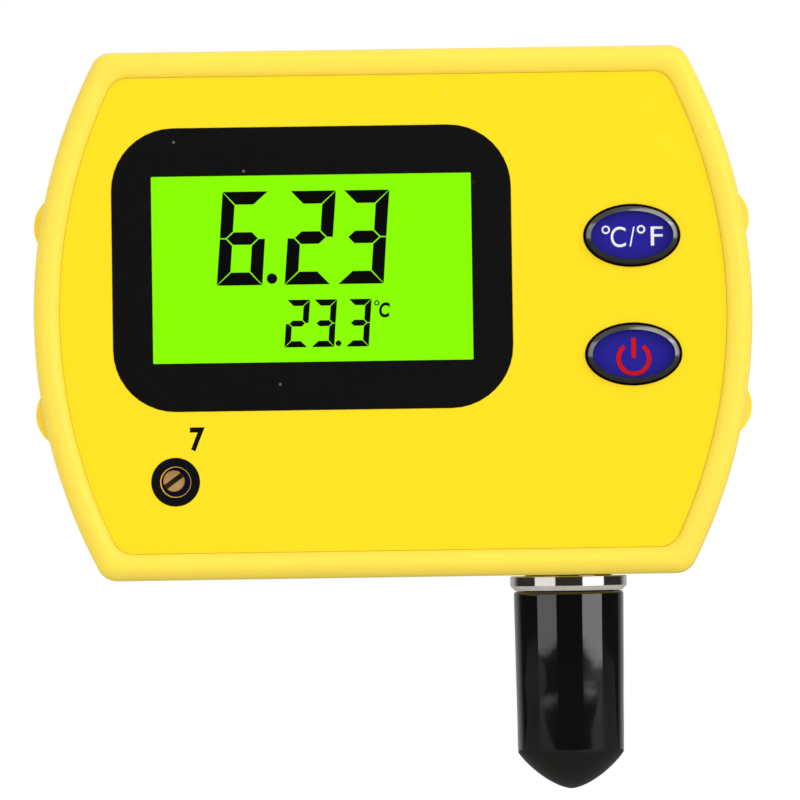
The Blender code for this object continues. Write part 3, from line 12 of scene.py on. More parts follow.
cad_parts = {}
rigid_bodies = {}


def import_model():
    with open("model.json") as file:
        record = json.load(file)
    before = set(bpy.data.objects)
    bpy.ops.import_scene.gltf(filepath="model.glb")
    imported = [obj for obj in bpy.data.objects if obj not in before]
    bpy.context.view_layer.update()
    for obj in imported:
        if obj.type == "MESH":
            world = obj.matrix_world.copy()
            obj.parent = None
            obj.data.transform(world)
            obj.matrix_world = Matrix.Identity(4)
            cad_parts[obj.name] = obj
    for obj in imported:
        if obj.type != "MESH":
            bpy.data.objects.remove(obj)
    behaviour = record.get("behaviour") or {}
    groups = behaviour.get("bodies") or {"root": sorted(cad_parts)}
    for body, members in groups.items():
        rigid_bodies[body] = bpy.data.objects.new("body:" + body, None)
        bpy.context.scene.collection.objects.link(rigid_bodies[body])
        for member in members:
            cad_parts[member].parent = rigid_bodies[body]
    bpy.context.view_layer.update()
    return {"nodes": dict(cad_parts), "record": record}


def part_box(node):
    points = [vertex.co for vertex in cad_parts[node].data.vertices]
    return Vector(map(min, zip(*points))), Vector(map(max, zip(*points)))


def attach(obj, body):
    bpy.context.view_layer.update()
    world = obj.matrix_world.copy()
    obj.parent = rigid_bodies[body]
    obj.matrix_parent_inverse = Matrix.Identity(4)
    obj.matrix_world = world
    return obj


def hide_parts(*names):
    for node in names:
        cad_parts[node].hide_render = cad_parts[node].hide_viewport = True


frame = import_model()

bl_info = {
    "name": "Wall pH meter",
    "version": (1, 0, 0),
    "blender": (4, 5, 0),
    "location": "3D View > Sidebar > pH Meter",
    "description": "Dresses the packed pH meter with its moulded, printed and turned pieces",
    "category": "Object",
}

NODES = frame["nodes"]
RECORD = frame["record"]
BODY_OF = {node: body for body, nodes in RECORD["behaviour"]["bodies"].items() for node in nodes}
SLOT_OF = {row["node"]: row["material_slot"] for row in RECORD["subparts"]}
BUTTONS = ("unit_button", "power_button")
SCREWS = range(1, 5)

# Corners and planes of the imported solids
FRONT_LOW, FRONT_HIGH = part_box("front_shell")
REAR_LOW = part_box("rear_shell")[0]
FILM_LOW, FILM_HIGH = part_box("face_overlay")
BEZEL_LOW, BEZEL_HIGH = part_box("display_bezel")
WINDOW_LOW, WINDOW_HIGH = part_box("display_window")
LCD_LOW, LCD_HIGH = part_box("lcd_cell")
DOOR_LOW, DOOR_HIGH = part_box("battery_door")
NUT_LOW, NUT_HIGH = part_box("bnc_ring_nut")
JACK_LOW, JACK_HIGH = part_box("bnc_jack")
CAP_LOW, CAP_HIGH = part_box("dust_cap")
TRIM_LOW, TRIM_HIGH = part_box("trimmer_screw")
FRONT_Y = FRONT_LOW.y
FRONT_EDGE_Y = FRONT_HIGH.y
FACE_Y = WINDOW_LOW.y
DISPLAY_CENTRE = ((BEZEL_LOW.x + BEZEL_HIGH.x) / 2, (BEZEL_LOW.z + BEZEL_HIGH.z) / 2)
JACK_X = (NUT_LOW.x + NUT_HIGH.x) / 2
JACK_Y = (NUT_LOW.y + NUT_HIGH.y) / 2
JACK_AXIS = Matrix.Translation((JACK_X, JACK_Y, 0.0))

# Fits and walls, in metres as all sizes are
GAP = 0.0003
FILM_GAP = 0.0001
FILM_FIT = 0.00005
FILM_EDGE = 0.00004
WALL = 0.0022
SEAM_GAP = 0.0003
SEAM_CHAMFER = 0.00025
LIP_INSET = 0.0012
LIP_DEPTH = 0.0016
LIP_THICKNESS = 0.0008
REAR_EDGE_Y = FRONT_EDGE_Y + SEAM_GAP
FACE_INNER_Y = FACE_Y + WALL
CUT_MARGIN = 0.001
PRINT_THICKNESS = 0.00003
PRINT_LIFT = 0.00001
BOLD = 0.035

# Smoothness
SIDE_STEPS = 48
CORNER_STEPS = 10
ROUND_STEPS = 96
SMALL_STEPS = 48
DOT_STEPS = 32
RIM_STEPS = 9
LIP_STEPS = 6
WALL_STEPS = 40
NOSE_STEPS = 24
SHARP_ANGLE = math.radians(30)
MERGE_DISTANCE = 0.000001

# Openings of the face
SEAT_CORNER = 0.0018
VIEW_MARGIN = 0.0012
VIEW_CORNER = 0.00015
OPENING_CORNER = 0.0004
PANE_CORNER = 0.0015
PANE_EDGE = 0.0001
TRIMMER_HOLE = (-0.0311, -0.0236)
TRIMMER_CASE_HOLE = 0.0042
TRIMMER_FILM_HOLE = 0.0043
TRIMMER_RING = 0.0069

# Rear shell: screw posts, battery bay, thumb notch, jack hole and keyhole
BACK_ROUND = 0.0026
POST_END_Y = -0.0012
POST_ROUND = 0.0008
POST_ROUND_STEPS = 5
SCREW_SEAT_Y = -0.01
SCREW_BORE = 0.003
SCREW_SHANK_BORE = 0.0015
BAY_LOW = Vector((-0.02615, -0.0126, -0.0268))
BAY_HIGH = Vector((0.02615, 0.0, -0.0049))
BAY_WALL = 0.0016
THUMB_NOTCH_RADIUS = 0.0055
THUMB_NOTCH_DEPTH = 0.0011
JACK_HOLE_RADIUS = 0.00665
KEYHOLE_Z = 0.017
KEYHOLE_ENTRY = 0.0037
KEYHOLE_SLOT = 0.002
KEYHOLE_RISE = 0.0065

# Battery door: plate, tongues, latch leg and grip ribs
DOOR_WIDTH = DOOR_HIGH.x - DOOR_LOW.x
DOOR_TOP_Z = -0.0038
DOOR_HEIGHT = DOOR_TOP_Z - DOOR_LOW.z
DOOR_MIDDLE_Z = (DOOR_TOP_Z + DOOR_LOW.z) / 2
DOOR_CORNER = 0.0015
DOOR_EDGE = 0.0002
DOOR_BACK_Y = DOOR_HIGH.y
DOOR_THICKNESS = 0.0013
DOOR_FRONT_Y = DOOR_BACK_Y - DOOR_THICKNESS
TONGUE_WIDTH = 0.006
TONGUE_PITCH = 0.03
TONGUE_THICKNESS = 0.0006
TONGUE_SLOT_FRONT = DOOR_BACK_Y - math.hypot(DOOR_HIGH.z - DOOR_TOP_Z, DOOR_THICKNESS) - GAP
TONGUE_SLOT_BACK = DOOR_FRONT_Y + TONGUE_THICKNESS + GAP
LATCH_HALF = 0.0035
LATCH_INSET = 0.0005
LATCH_THICKNESS = 0.001
LATCH_ROOT = 0.0006
RIB_COUNT = 4
RIB_START = 0.0072
RIB_PITCH = 0.0016
RIB_HALF = 0.005
RIB_HEIGHT = 0.0007
RIB_ROOT = 0.0004
RIB_PROUD = 0.00015
RIB_EDGE = 0.00014

# Case screws: share of the head's radius and drop below its crown, then the cross
SCREW_DOME = ((0.0, 0.0), (0.45, 0.00008), (0.8, 0.0005), (0.97, 0.0011))
SCREW_HEAD_HEIGHT = 0.0018
SCREW_HEAD_EDGE = 0.0002
SCREW_SHANK = 0.0012
SCREW_TWIST = 0.7
CROSS_REACH = 0.0014
CROSS_HALF = 0.00035
CROSS_DEPTH = 0.0011

# Reading: left edges, base line, bar, split between segments, dot's place and radius
SEGMENTS_OF = {"2": "abged", "3": "abgcd", "6": "afgedc"}
LARGE_ROW = ((-0.02504, -0.0154, -0.0078), 0.0042, 0.00196, 0.0002, (-0.01714, 0.00514), 0.00074)
SMALL_ROW = ((-0.01555, -0.01171, -0.00681), -0.0047, 0.00096, 0.00014, (-0.00782, -0.00418), 0.0004)
DIGIT_SLANT = math.tan(math.radians(4.3))
CELL_EDGE = 0.00015
UNIT_BOX = (-0.002, -0.0006, 0.00155, 0.00215)
UNIT_SLANT = 0.12
UNIT_RING = ((-0.0023, 0.00148), 0.00038, 0.00022)

# Buttons: body, lens steps and legends
BODY_RIM = 0.00018
FLANGE_THICKNESS = 0.001
STEM_WIDTH = 0.004
LENS_PROFILE = ((0.0, 0.0), (0.0, 0.62), (0.08, 0.68), (0.92, 0.965), (1.0, 1.0))
LENS_FLAT = 0.97
DISC_DRAWN_IN = 0.0004
UNIT_MARK = (
    ("C", -0.003, -0.00167, 0.00213, 0.0029),
    ("/", -0.00037, -0.00159, 0.00077, 0.0028),
    ("F", 0.00267, -0.0015, 0.0017, 0.0027),
)
UNIT_MARK_RINGS = (-0.00369, 0.0013)
UNIT_MARK_RING_Z = 0.00082
UNIT_MARK_RING_RADII = (0.0006, 0.00035)
POWER_RADIUS = 0.00216
POWER_BAR = 0.00062
POWER_BAR_LOW = -0.00057
POWER_BAR_HIGH = 0.0023
POWER_OPENING = 76.0
POWER_DROP = -0.00065

# Trimmer screw and its number
TRIM_NECK = 0.0016 + GAP
TRIM_STEM = 0.0008
TRIM_CHAMFER = 0.00015
TRIM_TURN = math.radians(36)
SLOT_HALF = 0.00036
SLOT_DEPTH = 0.0009
SLOT_SLACK = 0.00001
CUT_SKIN = 0.00005
NUMBER_BOX = (-0.029, -0.0193, 0.0021, 0.0034)

# Jack: heights, then profiles as (radius, height)
NUT_EDGE = 0.00012
NUT_SLOPE = (-0.9, -0.3)
COLLAR_RADIUS = 0.00635
THREAD_PITCH = 0.0008
THREAD_DEPTH = 0.0003
THREAD_CREST = (0.45, 0.55)
THREAD_RUNOUT = 0.0003
FLANGE_TOP_Z = JACK_HIGH.z - 0.0014
FLANGE_LOW_Z = FLANGE_TOP_Z - 0.0015
SOCKET_TOP_Z = FLANGE_LOW_Z - GAP
COLLAR_END_Z = JACK_LOW.z + 0.0086
MOUTH_TOP_Z = JACK_LOW.z + 0.0053
SLEEVE_END_Z = JACK_LOW.z + 0.0006
PIN_TOP_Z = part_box("bnc_centre_contact")[1].z
PIN_TIP_Z = SLEEVE_END_Z + 0.0003
PIN_BORE_Z = PIN_TIP_Z + 0.004
JACK_TAIL = (
    (0.002, JACK_HIGH.z),
    (0.0042, JACK_HIGH.z),
    (0.0042, FLANGE_TOP_Z),
    (0.0073, FLANGE_TOP_Z),
    (0.0073, FLANGE_LOW_Z),
    (COLLAR_RADIUS - THREAD_DEPTH, FLANGE_LOW_Z),
)
JACK_BARREL = (
    (COLLAR_RADIUS - 0.0004, COLLAR_END_Z),
    (0.00485, COLLAR_END_Z),
    (0.00485, JACK_LOW.z + 0.0003),
    (0.00455, JACK_LOW.z),
    (0.0042, JACK_LOW.z),
    (0.00405, JACK_LOW.z + 0.00015),
    (0.00405, MOUTH_TOP_Z),
    (0.0033, MOUTH_TOP_Z),
    (0.0033, FLANGE_LOW_Z),
    (0.002, FLANGE_LOW_Z),
)
SLEEVE_PROFILE = (
    (0.00135, SOCKET_TOP_Z),
    (0.003, SOCKET_TOP_Z),
    (0.003, MOUTH_TOP_Z),
    (0.0024, MOUTH_TOP_Z),
    (0.0024, SLEEVE_END_Z + 0.0002),
    (0.0022, SLEEVE_END_Z),
    (0.00135, SLEEVE_END_Z),
)
PIN_PROFILE = (
    (0.0, PIN_TOP_Z),
    (0.0007, PIN_TOP_Z),
    (0.0007, SOCKET_TOP_Z),
    (0.00105, SOCKET_TOP_Z),
    (0.00105, PIN_TIP_Z + 0.0001),
    (0.00095, PIN_TIP_Z),
    (0.0006, PIN_TIP_Z + 0.0001),
    (0.0006, PIN_BORE_Z),
    (0.0, PIN_BORE_Z),
)
LUG_PLACE = (0.004965, 0.0, JACK_LOW.z + 0.0047)
LUG_RADIUS = 0.001
LUG_LENGTH = 0.00113
LUG_EDGE = 0.00012

# Dust cap
CAP_SEAT = 0.00006
CAP_LIP = 0.0005
CAP_END_WALL = 0.0016
NOSE_SHOULDER = 1.15
NOSE_ROUND = 0.63
WAVE_SCALE = 130.0
WAVE_START = 0.014
WAVE_PLACE = Vector((5.0, 2.0, 4.0))
SKIN_DROP = 0.004

# Battery cells: radius or inset from the jacket, and height from that end, then the springs
CELL_BUTTON = ((0.0, 0.0), (0.0017, 0.0), (0.0019, -0.0002), (0.0019, -0.0008))
CELL_CRIMP = ((0.0012, -0.0008), (0.0011, -0.0007), (0.0004, -0.0007), (0.0, -0.0011))
CELL_BASE = ((0.0, 0.0004), (0.0004, 0.0), (0.0012, 0.0), (0.0014, 0.0003))
CELL_JACKET_TURN = 0.001
SPRING_WIRE = 0.00035
SPRING_RADII = (0.0036, 0.0024)
SPRING_TURNS = 3.5
SPRING_STEPS = 28

# Stage: each softbox has its azimuth, distance, width, lowest and highest edge, and whether it lights
CAMERA_PLACE = (-0.004, -0.733, -0.032)
CAMERA_TURN = (-0.39, 1.6, 0.845)
SENSOR_WIDTH = 36.0
CLIP_START = 0.01
FLOOR_Z = -0.105
FLOOR_WIDTH = 3.0
FLOOR_REACH = (-0.5, 0.38)
SOFTBOXES = {
    "key": (49.0, 1.0, 0.81, -0.098, 0.822),
    "card": (49.0, 1.0, 0.81, -0.098, 0.822, False),
    "side": (-49.0, 1.0, 0.81, -0.098, 0.822),
    "top": (36.0, 0.75, 0.9, 0.5, 1.7),
}
ROOM_BEHIND = (-0.6, 0.2)
ROOM_FACING = (0.5, 0.95)
ROOM_MIRROR = 0.03
BACKDROP = (0.5, 0.9)
BACKDROP_MIRROR = 0.5
CEILING = (0.35, 0.7)
CEILING_MIRROR = 0.3

# Moulded plastics and prints: colour, roughness, grain, grain depth, clouding and mirror level
PLASTICS = {
    "print_black": ((0.003, 0.003, 0.0033), 0.38, 3000.0, 0.000002, 0.1, 0.2),
    "lcd_ink": ((0.0012, 0.0014, 0.0012), 0.5, 3000.0, 0.000002, 0.1, 0.0),
    "print_white": ("ph_meter_buttons.unit_mark", 0.5, 3000.0, 0.000002, 0.03, 0.05),
    "print_red": ("ph_meter_buttons.power_mark", 0.5, 3000.0, 0.000002, 0.03, 0.05),
    "button_blue": ("ph_meter_buttons.disc", 0.4, 2600.0, 0.000003, 0.05, 0.15),
    "button_black": ((0.008, 0.008, 0.009), 0.16, 2000.0, 0.000002),
    "chip_resin": ((0.018, 0.018, 0.019), 0.55, 5000.0, 0.00002),
    "white_plastic": ((0.82, 0.82, 0.79), 0.42),
    "lead_red": ((0.6, 0.02, 0.02), 0.4),
    "lead_black": ((0.02, 0.02, 0.02), 0.4),
}

# Bright metals: colour, roughness, how metallic, and how bright
METALS = {
    "screw_steel": ((0.64, 0.64, 0.62), 0.3),
    "brass": ("ph_meter_jack.brass", 0.42, 0.6),
    # brass darkened to a fifth for the trimmer's slot: painted shade of that recess
    "brass_slot_painted_shade": ("ph_meter_jack.brass", 0.55, 1.0, 0.2),
    "nickel_edge": ("ph_meter_jack.nickel", 0.5, 0.25),
}


def length(name, description, default):
    return FloatProperty(name=name, description=description, default=default, min=0.0, unit="LENGTH")


def colour(name, description, default):
    return FloatVectorProperty(
        name=name, description=description, default=default, min=0.0, max=1.0, subtype="COLOR"
    )


def level(name, description, default):
    return FloatProperty(name=name, description=description, default=default)


class CaseSettings(PropertyGroup):
    width: length("Width", "Across the arc sides at mid height", FRONT_HIGH.x - FRONT_LOW.x)
    height: length("Height", "From the flat bottom to the flat top", FRONT_HIGH.z - FRONT_LOW.z)
    top_width: length("Top width", "Where the side arcs meet the top", 0.0828)
    corner_radius: length("Corner radius", "At the four corners", 0.003)
    rim_width: length("Rim width", "The bead rim round the face", 0.0039)
    rim_height: length("Rim height", "The bead rim above the face", 0.0017)
    crest_inset: length("Crest inset", "From the outside to the bead's crest", 0.0019)
    shoulder: length("Shoulder", "Depth of the bead's outer round", 0.0034)
    post_radius: length("Post radius", "Screw posts that stand out at the sides", 0.005)
    plastic: colour("Case plastic", "Moulded yellow", (1.0, 0.735, 0.08))
    film: colour("Face film", "Printed yellow", (0.97, 0.69, 0.004))


class DisplaySettings(PropertyGroup):
    bezel_radius: length("Bezel corner", "Radius of the black bezel's corners", 0.0088)
    view_width: length("View width", "Lit area across", 0.0453)
    view_height: length("View height", "Lit area upwards", 0.0265)
    large_height: length("Large digits", "Height of the main reading", 0.0134)
    large_width: length("Large digit width", "Width of a main digit", 0.00655)
    small_height: length("Small digits", "Height of the temperature", 0.0068)
    small_width: length("Small digit width", "Width of a temperature digit", 0.0033)
    lit: colour("Lit green", "Backlit liquid crystal", (0.258, 0.99, 0.0003))
    bezel: colour("Bezel", "Printed black", (0.0035, 0.0034, 0.004))


class ButtonSettings(PropertyGroup):
    width: length("Width", "Button across", 0.0132)
    height: length("Height", "Button upwards", 0.00835)
    lens_bevel: length("Lens bevel", "Sloping edge of the clear lens", 0.00066)
    disc: colour("Disc", "Blue disc below the lens", (0.012, 0.007, 0.3))
    unit_mark: colour("Unit mark", "Legend of the upper button", (0.85, 0.85, 0.87))
    power_mark: colour("Power mark", "Legend of the lower button", (0.62, 0.003, 0.004))


class JackSettings(PropertyGroup):
    nut_chamfer: length("Nut chamfer", "Lower outer edge of the ring nut", 0.0007)
    cap_taper: length("Cap taper", "How much the cap narrows to its shoulder", 0.00025)
    cap_nose: length("Cap nose", "Length of the cap's blunt cone", 0.0054)
    cap_wave: length("Cap wave", "Unevenness of the dipped vinyl", 0.00005)
    nickel: colour("Nickel", "Turned and plated", (0.76, 0.72, 0.67))
    vinyl: colour("Vinyl", "Dipped black", (0.0032, 0.0028, 0.003))
    brass: colour("Brass", "Turned", (0.86, 0.56, 0.25))


class StageSettings(PropertyGroup):
    focal_length: level("Lens", "Focal length in millimetres", 222.9)
    key_radiance: level("Key light", "Brightness of the right softbox", 1.8)
    card_radiance: level("Card", "Brightness of the card that mirrors show", 1.2)
    side_radiance: level("Side light", "Brightness of the left softbox", 1.0)
    top_radiance: level("Top light", "Brightness of the upper softbox", 1.4)
    fill: level("Fill", "Light from the room on the camera's side", 0.44)
    front: level("Front light", "Light from round the camera", 0.4)
    floor: colour("Floor", "Plain pale floor", (0.62, 0.62, 0.61))


class Value:
    """A shader socket that takes part in Python arithmetic by adding Math nodes."""

    def __init__(self, graph, socket):
        self.graph = graph
        self.socket = socket

    def math(self, operation, *values):
        return self.graph.node("ShaderNodeMath", dict(enumerate(values)), operation=operation)

    def __add__(self, other):
        return self.math("ADD", self, other)

    __radd__ = __add__

    def __sub__(self, other):
        return self.math("SUBTRACT", self, other)

    def __rsub__(self, other):
        return self.math("SUBTRACT", other, self)

    def __mul__(self, other):
        return self.math("MULTIPLY", self, other)

    __rmul__ = __mul__

    def between(self, low, high):
        """0 below low, 1 above high, and smooth between them."""
        sockets = {"Value": self, "From Min": low, "From Max": high}
        return self.graph.node("ShaderNodeMapRange", sockets, interpolation_type="SMOOTHSTEP")


class Graph:
    """The nodes of one material or world, each made by the node method."""

    def __init__(self, tree):
        tree.nodes.clear()
        self.tree = tree

    def node(self, kind, sockets=None, output=0, **settings):
        made = self.tree.nodes.new(kind)
        for name, value in settings.items():
            setattr(made, name, value)
        for name, value in (sockets or {}).items():
            if isinstance(value, Value):
                self.tree.links.new(value.socket, made.inputs[name])
            else:
                made.inputs[name].default_value = value
        return Value(self, made.outputs[output]) if made.outputs else None

    def place(self):
        return self.node("ShaderNodeTexCoord", output="Object")

    def ray(self, kind):
        return self.node("ShaderNodeLightPath", output=kind)

    def axis(self, vector, name):
        return self.node("ShaderNodeSeparateXYZ", {"Vector": vector}, name)

    def stretched(self, scale):
        """Object coordinates drawn out along the axes whose scale is small."""
        return self.node("ShaderNodeVectorMath", {0: self.place(), 1: scale}, operation="MULTIPLY")

    def cloud(self, vector, scale, detail=2.0):
        return self.node("ShaderNodeTexNoise", {"Vector": vector, "Scale": scale, "Detail": detail})

    def mix(self, first, second, share):
        sockets = {0: share, 6: (*first, 1.0), 7: (*second, 1.0)}
        return self.node("ShaderNodeMix", sockets, 2, data_type="RGBA")

    def bump(self, height, depth):
        return self.node("ShaderNodeBump", {"Distance": depth, "Height": height}, "Normal")

    def principled(self, sockets):
        return self.node("ShaderNodeBsdfPrincipled", sockets)


def shade(tone, factor):
    return tuple(min(1.0, channel * factor) for channel in tone)


def tone_of(given):
    """A colour given as numbers, or by its place in the scene's settings."""
    return bpy.context.scene.path_resolve(given) if isinstance(given, str) else given


def moulded(graph, given, roughness, grain=1800.0, depth=0.00001, vary=0.03, mirror=0.5, more=None):
    """Moulded plastic: faint clouding of its colour and gloss, and a fine grain from the tool."""
    tone = tone_of(given)
    place = graph.place()
    clouding = graph.cloud(place, 70.0, 3.0)
    sockets = {
        "Base Color": graph.mix(shade(tone, 1 - vary), shade(tone, 1 + vary), clouding),
        "Roughness": roughness + (clouding - 0.5) * 0.12,
        "Specular IOR Level": mirror,
        "Normal": graph.bump(graph.cloud(place, grain), depth),
    }
    return graph.principled({**sockets, **(more or {})})


def bright_metal(graph, given, roughness, metallic=1.0, bright=1.0):
    """Bright sheet or screw metal with crossing hairlines."""
    tone = shade(tone_of(given), bright)
    hairs = graph.cloud(graph.stretched((1.0, 0.12, 1.0)), 5200.0, 3.0)
    dulling = graph.cloud(graph.place(), 420.0, 3.0)
    sockets = {
        "Base Color": graph.mix(shade(tone, 0.78), shade(tone, 1.08), dulling),
        "Metallic": metallic,
        "Roughness": roughness + (dulling - 0.5) * 0.22,
        "Normal": graph.bump(hairs, 0.000012),
    }
    return graph.principled(sockets)


def nickel(graph):
    """Turned and plated: fine grooves round the Z axis and a slight change of gloss."""
    tone = bpy.context.scene.ph_meter_jack.nickel
    grooves = graph.cloud(graph.stretched((1.0, 1.0, 160.0)), 40.0, 4.0)
    patches = graph.cloud(graph.place(), 260.0)
    sockets = {
        "Base Color": graph.mix(shade(tone, 0.92), shade(tone, 1.05), patches),
        "Metallic": 1.0,
        "Roughness": 0.07 + (patches - 0.5) * 0.1,
        "Normal": graph.bump(grooves, 0.0000025),
    }
    return graph.principled(sockets)


def case_plastic(graph):
    depth = {"Subsurface Weight": 0.3, "Subsurface Radius": (1.0, 0.5, 0.1), "Subsurface Scale": 0.0015}
    return moulded(graph, "ph_meter_case.plastic", 0.36, 2600.0, 0.000006, 0.02, 0.2, depth)


def face_film(graph):
    """Yellow printed film with a faint sheen and patches of hairline scuffs."""
    tone = bpy.context.scene.ph_meter_case.film
    place = graph.place()
    orange_peel = graph.cloud(place, 420.0, 1.0)
    hairs = graph.cloud(graph.stretched((9.0, 1.0, 0.35)), 330.0)
    worn = graph.cloud(place, 48.0).between(0.55, 0.72)
    scuffs = hairs.between(0.7, 0.74) * worn
    sockets = {
        "Base Color": graph.mix(tone, (1.0, 0.82, 0.16), scuffs * 0.5),
        "Roughness": 0.3 + scuffs * 0.2 + (orange_peel - 0.5) * 0.06,
        "Specular IOR Level": 0.3,
        "Normal": graph.bump(orange_peel, 0.000004),
    }
    return graph.principled(sockets)


def bezel_film(graph):
    """Black printed film with a few specks of dust."""
    tone = bpy.context.scene.ph_meter_display.bezel
    place = graph.place()
    upright = graph.node("ShaderNodeMapping", {"Vector": place, "Rotation": (math.pi / 2, 0.0, 0.0)})
    specks = graph.node(
        "ShaderNodeTexVoronoi", {"Vector": upright, "Scale": 105.0}, "Distance", voronoi_dimensions="2D"
    )
    dust = (1 - specks.between(0.012, 0.03)) * graph.cloud(place, 60.0).between(0.52, 0.6)
    sockets = {
        "Base Color": graph.mix(tone, (0.2, 0.2, 0.21), dust * 0.5),
        "Roughness": 0.32 + graph.cloud(place, 900.0) * 0.08,
        "Specular IOR Level": 0.22,
        "Normal": graph.bump(graph.cloud(place, 500.0), 0.000003),
    }
    return graph.principled(sockets)


def clear_plastic(graph):
    """Clear acrylic, which lets light fall through it onto what lies behind."""
    sockets = {
        "Base Color": (0.98, 0.99, 0.99, 1.0),
        "Roughness": 0.015 + graph.cloud(graph.place(), 180.0, 3.0) * 0.02,
        "IOR": 1.49,
        "Transmission Weight": 1.0,
    }
    lit_through = graph.ray("Is Shadow Ray") + graph.ray("Is Diffuse Ray")
    open_way = graph.node("ShaderNodeBsdfTransparent")
    return graph.node("ShaderNodeMixShader", {0: lit_through, 1: graph.principled(sockets), 2: open_way})


def lcd(graph):
    """The lit cell: even green with the slight unevenness of its backlight."""
    lit = bpy.context.scene.ph_meter_display.lit
    sockets = {
        "Base Color": (0.0, 0.0, 0.0, 1.0),
        "Roughness": 0.4,
        "Specular IOR Level": 0.0,
        "Emission Color": graph.mix(shade(lit, 0.96), lit, graph.cloud(graph.place(), 38.0)),
        "Emission Strength": 1.12,
    }
    return graph.principled(sockets)


def contact_rubber(graph):
    """Silicone strip with its dark conducting layers."""
    layers = graph.node("ShaderNodeTexWave", {"Vector": graph.place(), "Scale": 900.0}, bands_direction="X")
    mixed = graph.mix((0.5, 0.5, 0.52), (0.03, 0.03, 0.03), layers.between(0.4, 0.6))
    return graph.principled({"Base Color": mixed, "Roughness": 0.6})


def circuit_board(graph):
    """Green solder mask over copper tracks."""
    sockets = {"Vector": graph.place(), "Scale": 260.0}
    tracks = graph.node("ShaderNodeTexVoronoi", sockets, distance="CHEBYCHEV").between(0.32, 0.36)
    sockets = {
        "Base Color": graph.mix((0.012, 0.14, 0.04), (0.02, 0.22, 0.06), tracks),
        "Roughness": 0.34,
        "Normal": graph.bump(tracks, 0.00003),
    }
    return graph.principled(sockets)


def lens_edge(graph):
    """The lens's sloping edge, which mirrors the room over the black body."""
    streaks = graph.cloud(graph.place(), 700.0, 3.0)
    sockets = {
        "Base Color": graph.mix((0.15, 0.15, 0.145), (0.24, 0.24, 0.23), streaks),
        "Metallic": 1.0,
        "Roughness": 0.1 + streaks * 0.12,
    }
    return graph.principled(sockets)


def cap_vinyl(graph):
    """Dipped vinyl: nearly smooth, with a skin that is slightly uneven."""
    tone = bpy.context.scene.ph_meter_jack.vinyl
    place = graph.place()
    skin = graph.cloud(place, 230.0)
    sockets = {
        "Base Color": graph.mix(shade(tone, 0.85), shade(tone, 1.2), skin),
        "Roughness": 0.03 + graph.cloud(place, 90.0) * 0.03,
        "IOR": 1.75,
        "Specular IOR Level": 0.6,
        "Normal": graph.bump(skin, 0.000006),
    }
    return graph.principled(sockets)


def cell_jacket(graph):
    """Plain grey shrink jacket with a lighter band towards one end of each cell."""
    place = graph.place()
    band = graph.axis(place, "X").between(0.0128, 0.013)
    sockets = {
        "Base Color": graph.mix((0.09, 0.09, 0.1), (0.42, 0.42, 0.44), band),
        "Roughness": 0.26 + graph.cloud(place, 300.0) * 0.1,
        "Metallic": 0.4,
    }
    return graph.principled(sockets)


def pale_floor(graph):
    """White to the camera, dim in mirrors, and a soft light from below."""
    tone = bpy.context.scene.ph_meter_stage.floor
    seen = graph.ray("Is Camera Ray")
    glow = seen * 0.4 + graph.ray("Is Diffuse Ray") * 0.86
    grain = graph.cloud(graph.place(), 40.0, 3.0)
    sockets = {
        "Base Color": graph.mix(shade(tone, 0.18), tone, seen * (0.96 + grain * 0.04)),
        "Roughness": 0.8,
        "Emission Color": graph.mix((0.0, 0.0, 0.0), (1.0, 1.0, 1.0), glow),
        "Emission Strength": 1.0,
    }
    return graph.principled(sockets)


MADE_FINISHES = (
    case_plastic,
    face_film,
    bezel_film,
    clear_plastic,
    lcd,
    contact_rubber,
    circuit_board,
    lens_edge,
    nickel,
    cap_vinyl,
    cell_jacket,
    pale_floor,
)
FINISHES = {made.__name__: made for made in MADE_FINISHES}


def surface(graph, name):
    """The shader of a named plastic, metal or other finish."""
    if name in PLASTICS:
        return moulded(graph, *PLASTICS[name])
    if name in METALS:
        return bright_metal(graph, *METALS[name])
    return FINISHES[name](graph)


def finish(name):
    """The named material, made the first time it is asked for."""
    label = f"meter_{name}"
    made = bpy.data.materials.get(label)
    if made is None:
        made = bpy.data.materials.new(label)
        made.use_nodes = True
        graph = Graph(made.node_tree)
        graph.node("ShaderNodeOutputMaterial", {"Surface": surface(graph, name)})
    return made


def node_centre(name):
    low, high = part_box(name)
    return ((low.x + high.x) / 2, (low.z + high.z) / 2)


def facing_front(x, y, z):
    """Stands what is drawn upwards so that it faces the front, at that place."""
    return Matrix.Translation((x, y, z)) @ Matrix.Rotation(math.pi / 2, 4, "X")


def quarter(steps):
    """Cosines and sines from 0 to 90 degrees."""
    angles = [math.pi / 2 * step / steps for step in range(steps + 1)]
    return [(math.cos(angle), math.sin(angle)) for angle in angles]


class Pen:
    """Draws one closed loop in a plane of equal y by spinning and extruding its last vertex."""

    def __init__(self, mesh, x, z, y):
        self.mesh = mesh
        self.first = mesh.verts.new((x, y, z))
        self.last = self.first

    def line(self, x, z):
        self.last = bmesh.ops.extrude_vert_indiv(self.mesh, verts=[self.last])["verts"][0]
        self.last.co.x = x
        self.last.co.z = z

    def arc(self, centre_x, centre_z, angle, steps=CORNER_STEPS):
        centre = (centre_x, self.last.co.y, centre_z)
        turned = bmesh.ops.spin(
            self.mesh, geom=[self.last], cent=centre, axis=(0.0, -1.0, 0.0), angle=angle, steps=steps
        )
        self.last = next(item for item in turned["geom_last"] if isinstance(item, bmesh.types.BMVert))

    def close(self):
        if (self.last.co - self.first.co).length < MERGE_DISTANCE:
            bmesh.ops.weld_verts(self.mesh, targetmap={self.last: self.first})
        else:
            self.mesh.edges.new((self.last, self.first))
        return loop_edges(self.first)


def loop_edges(start):
    """Every edge of the loose loop that a vertex belongs to."""
    found = []
    waiting = [start]
    while waiting:
        vertex = waiting.pop()
        for edge in vertex.link_edges:
            if edge not in found:
                found.append(edge)
                waiting.append(edge.other_vert(vertex))
    return found


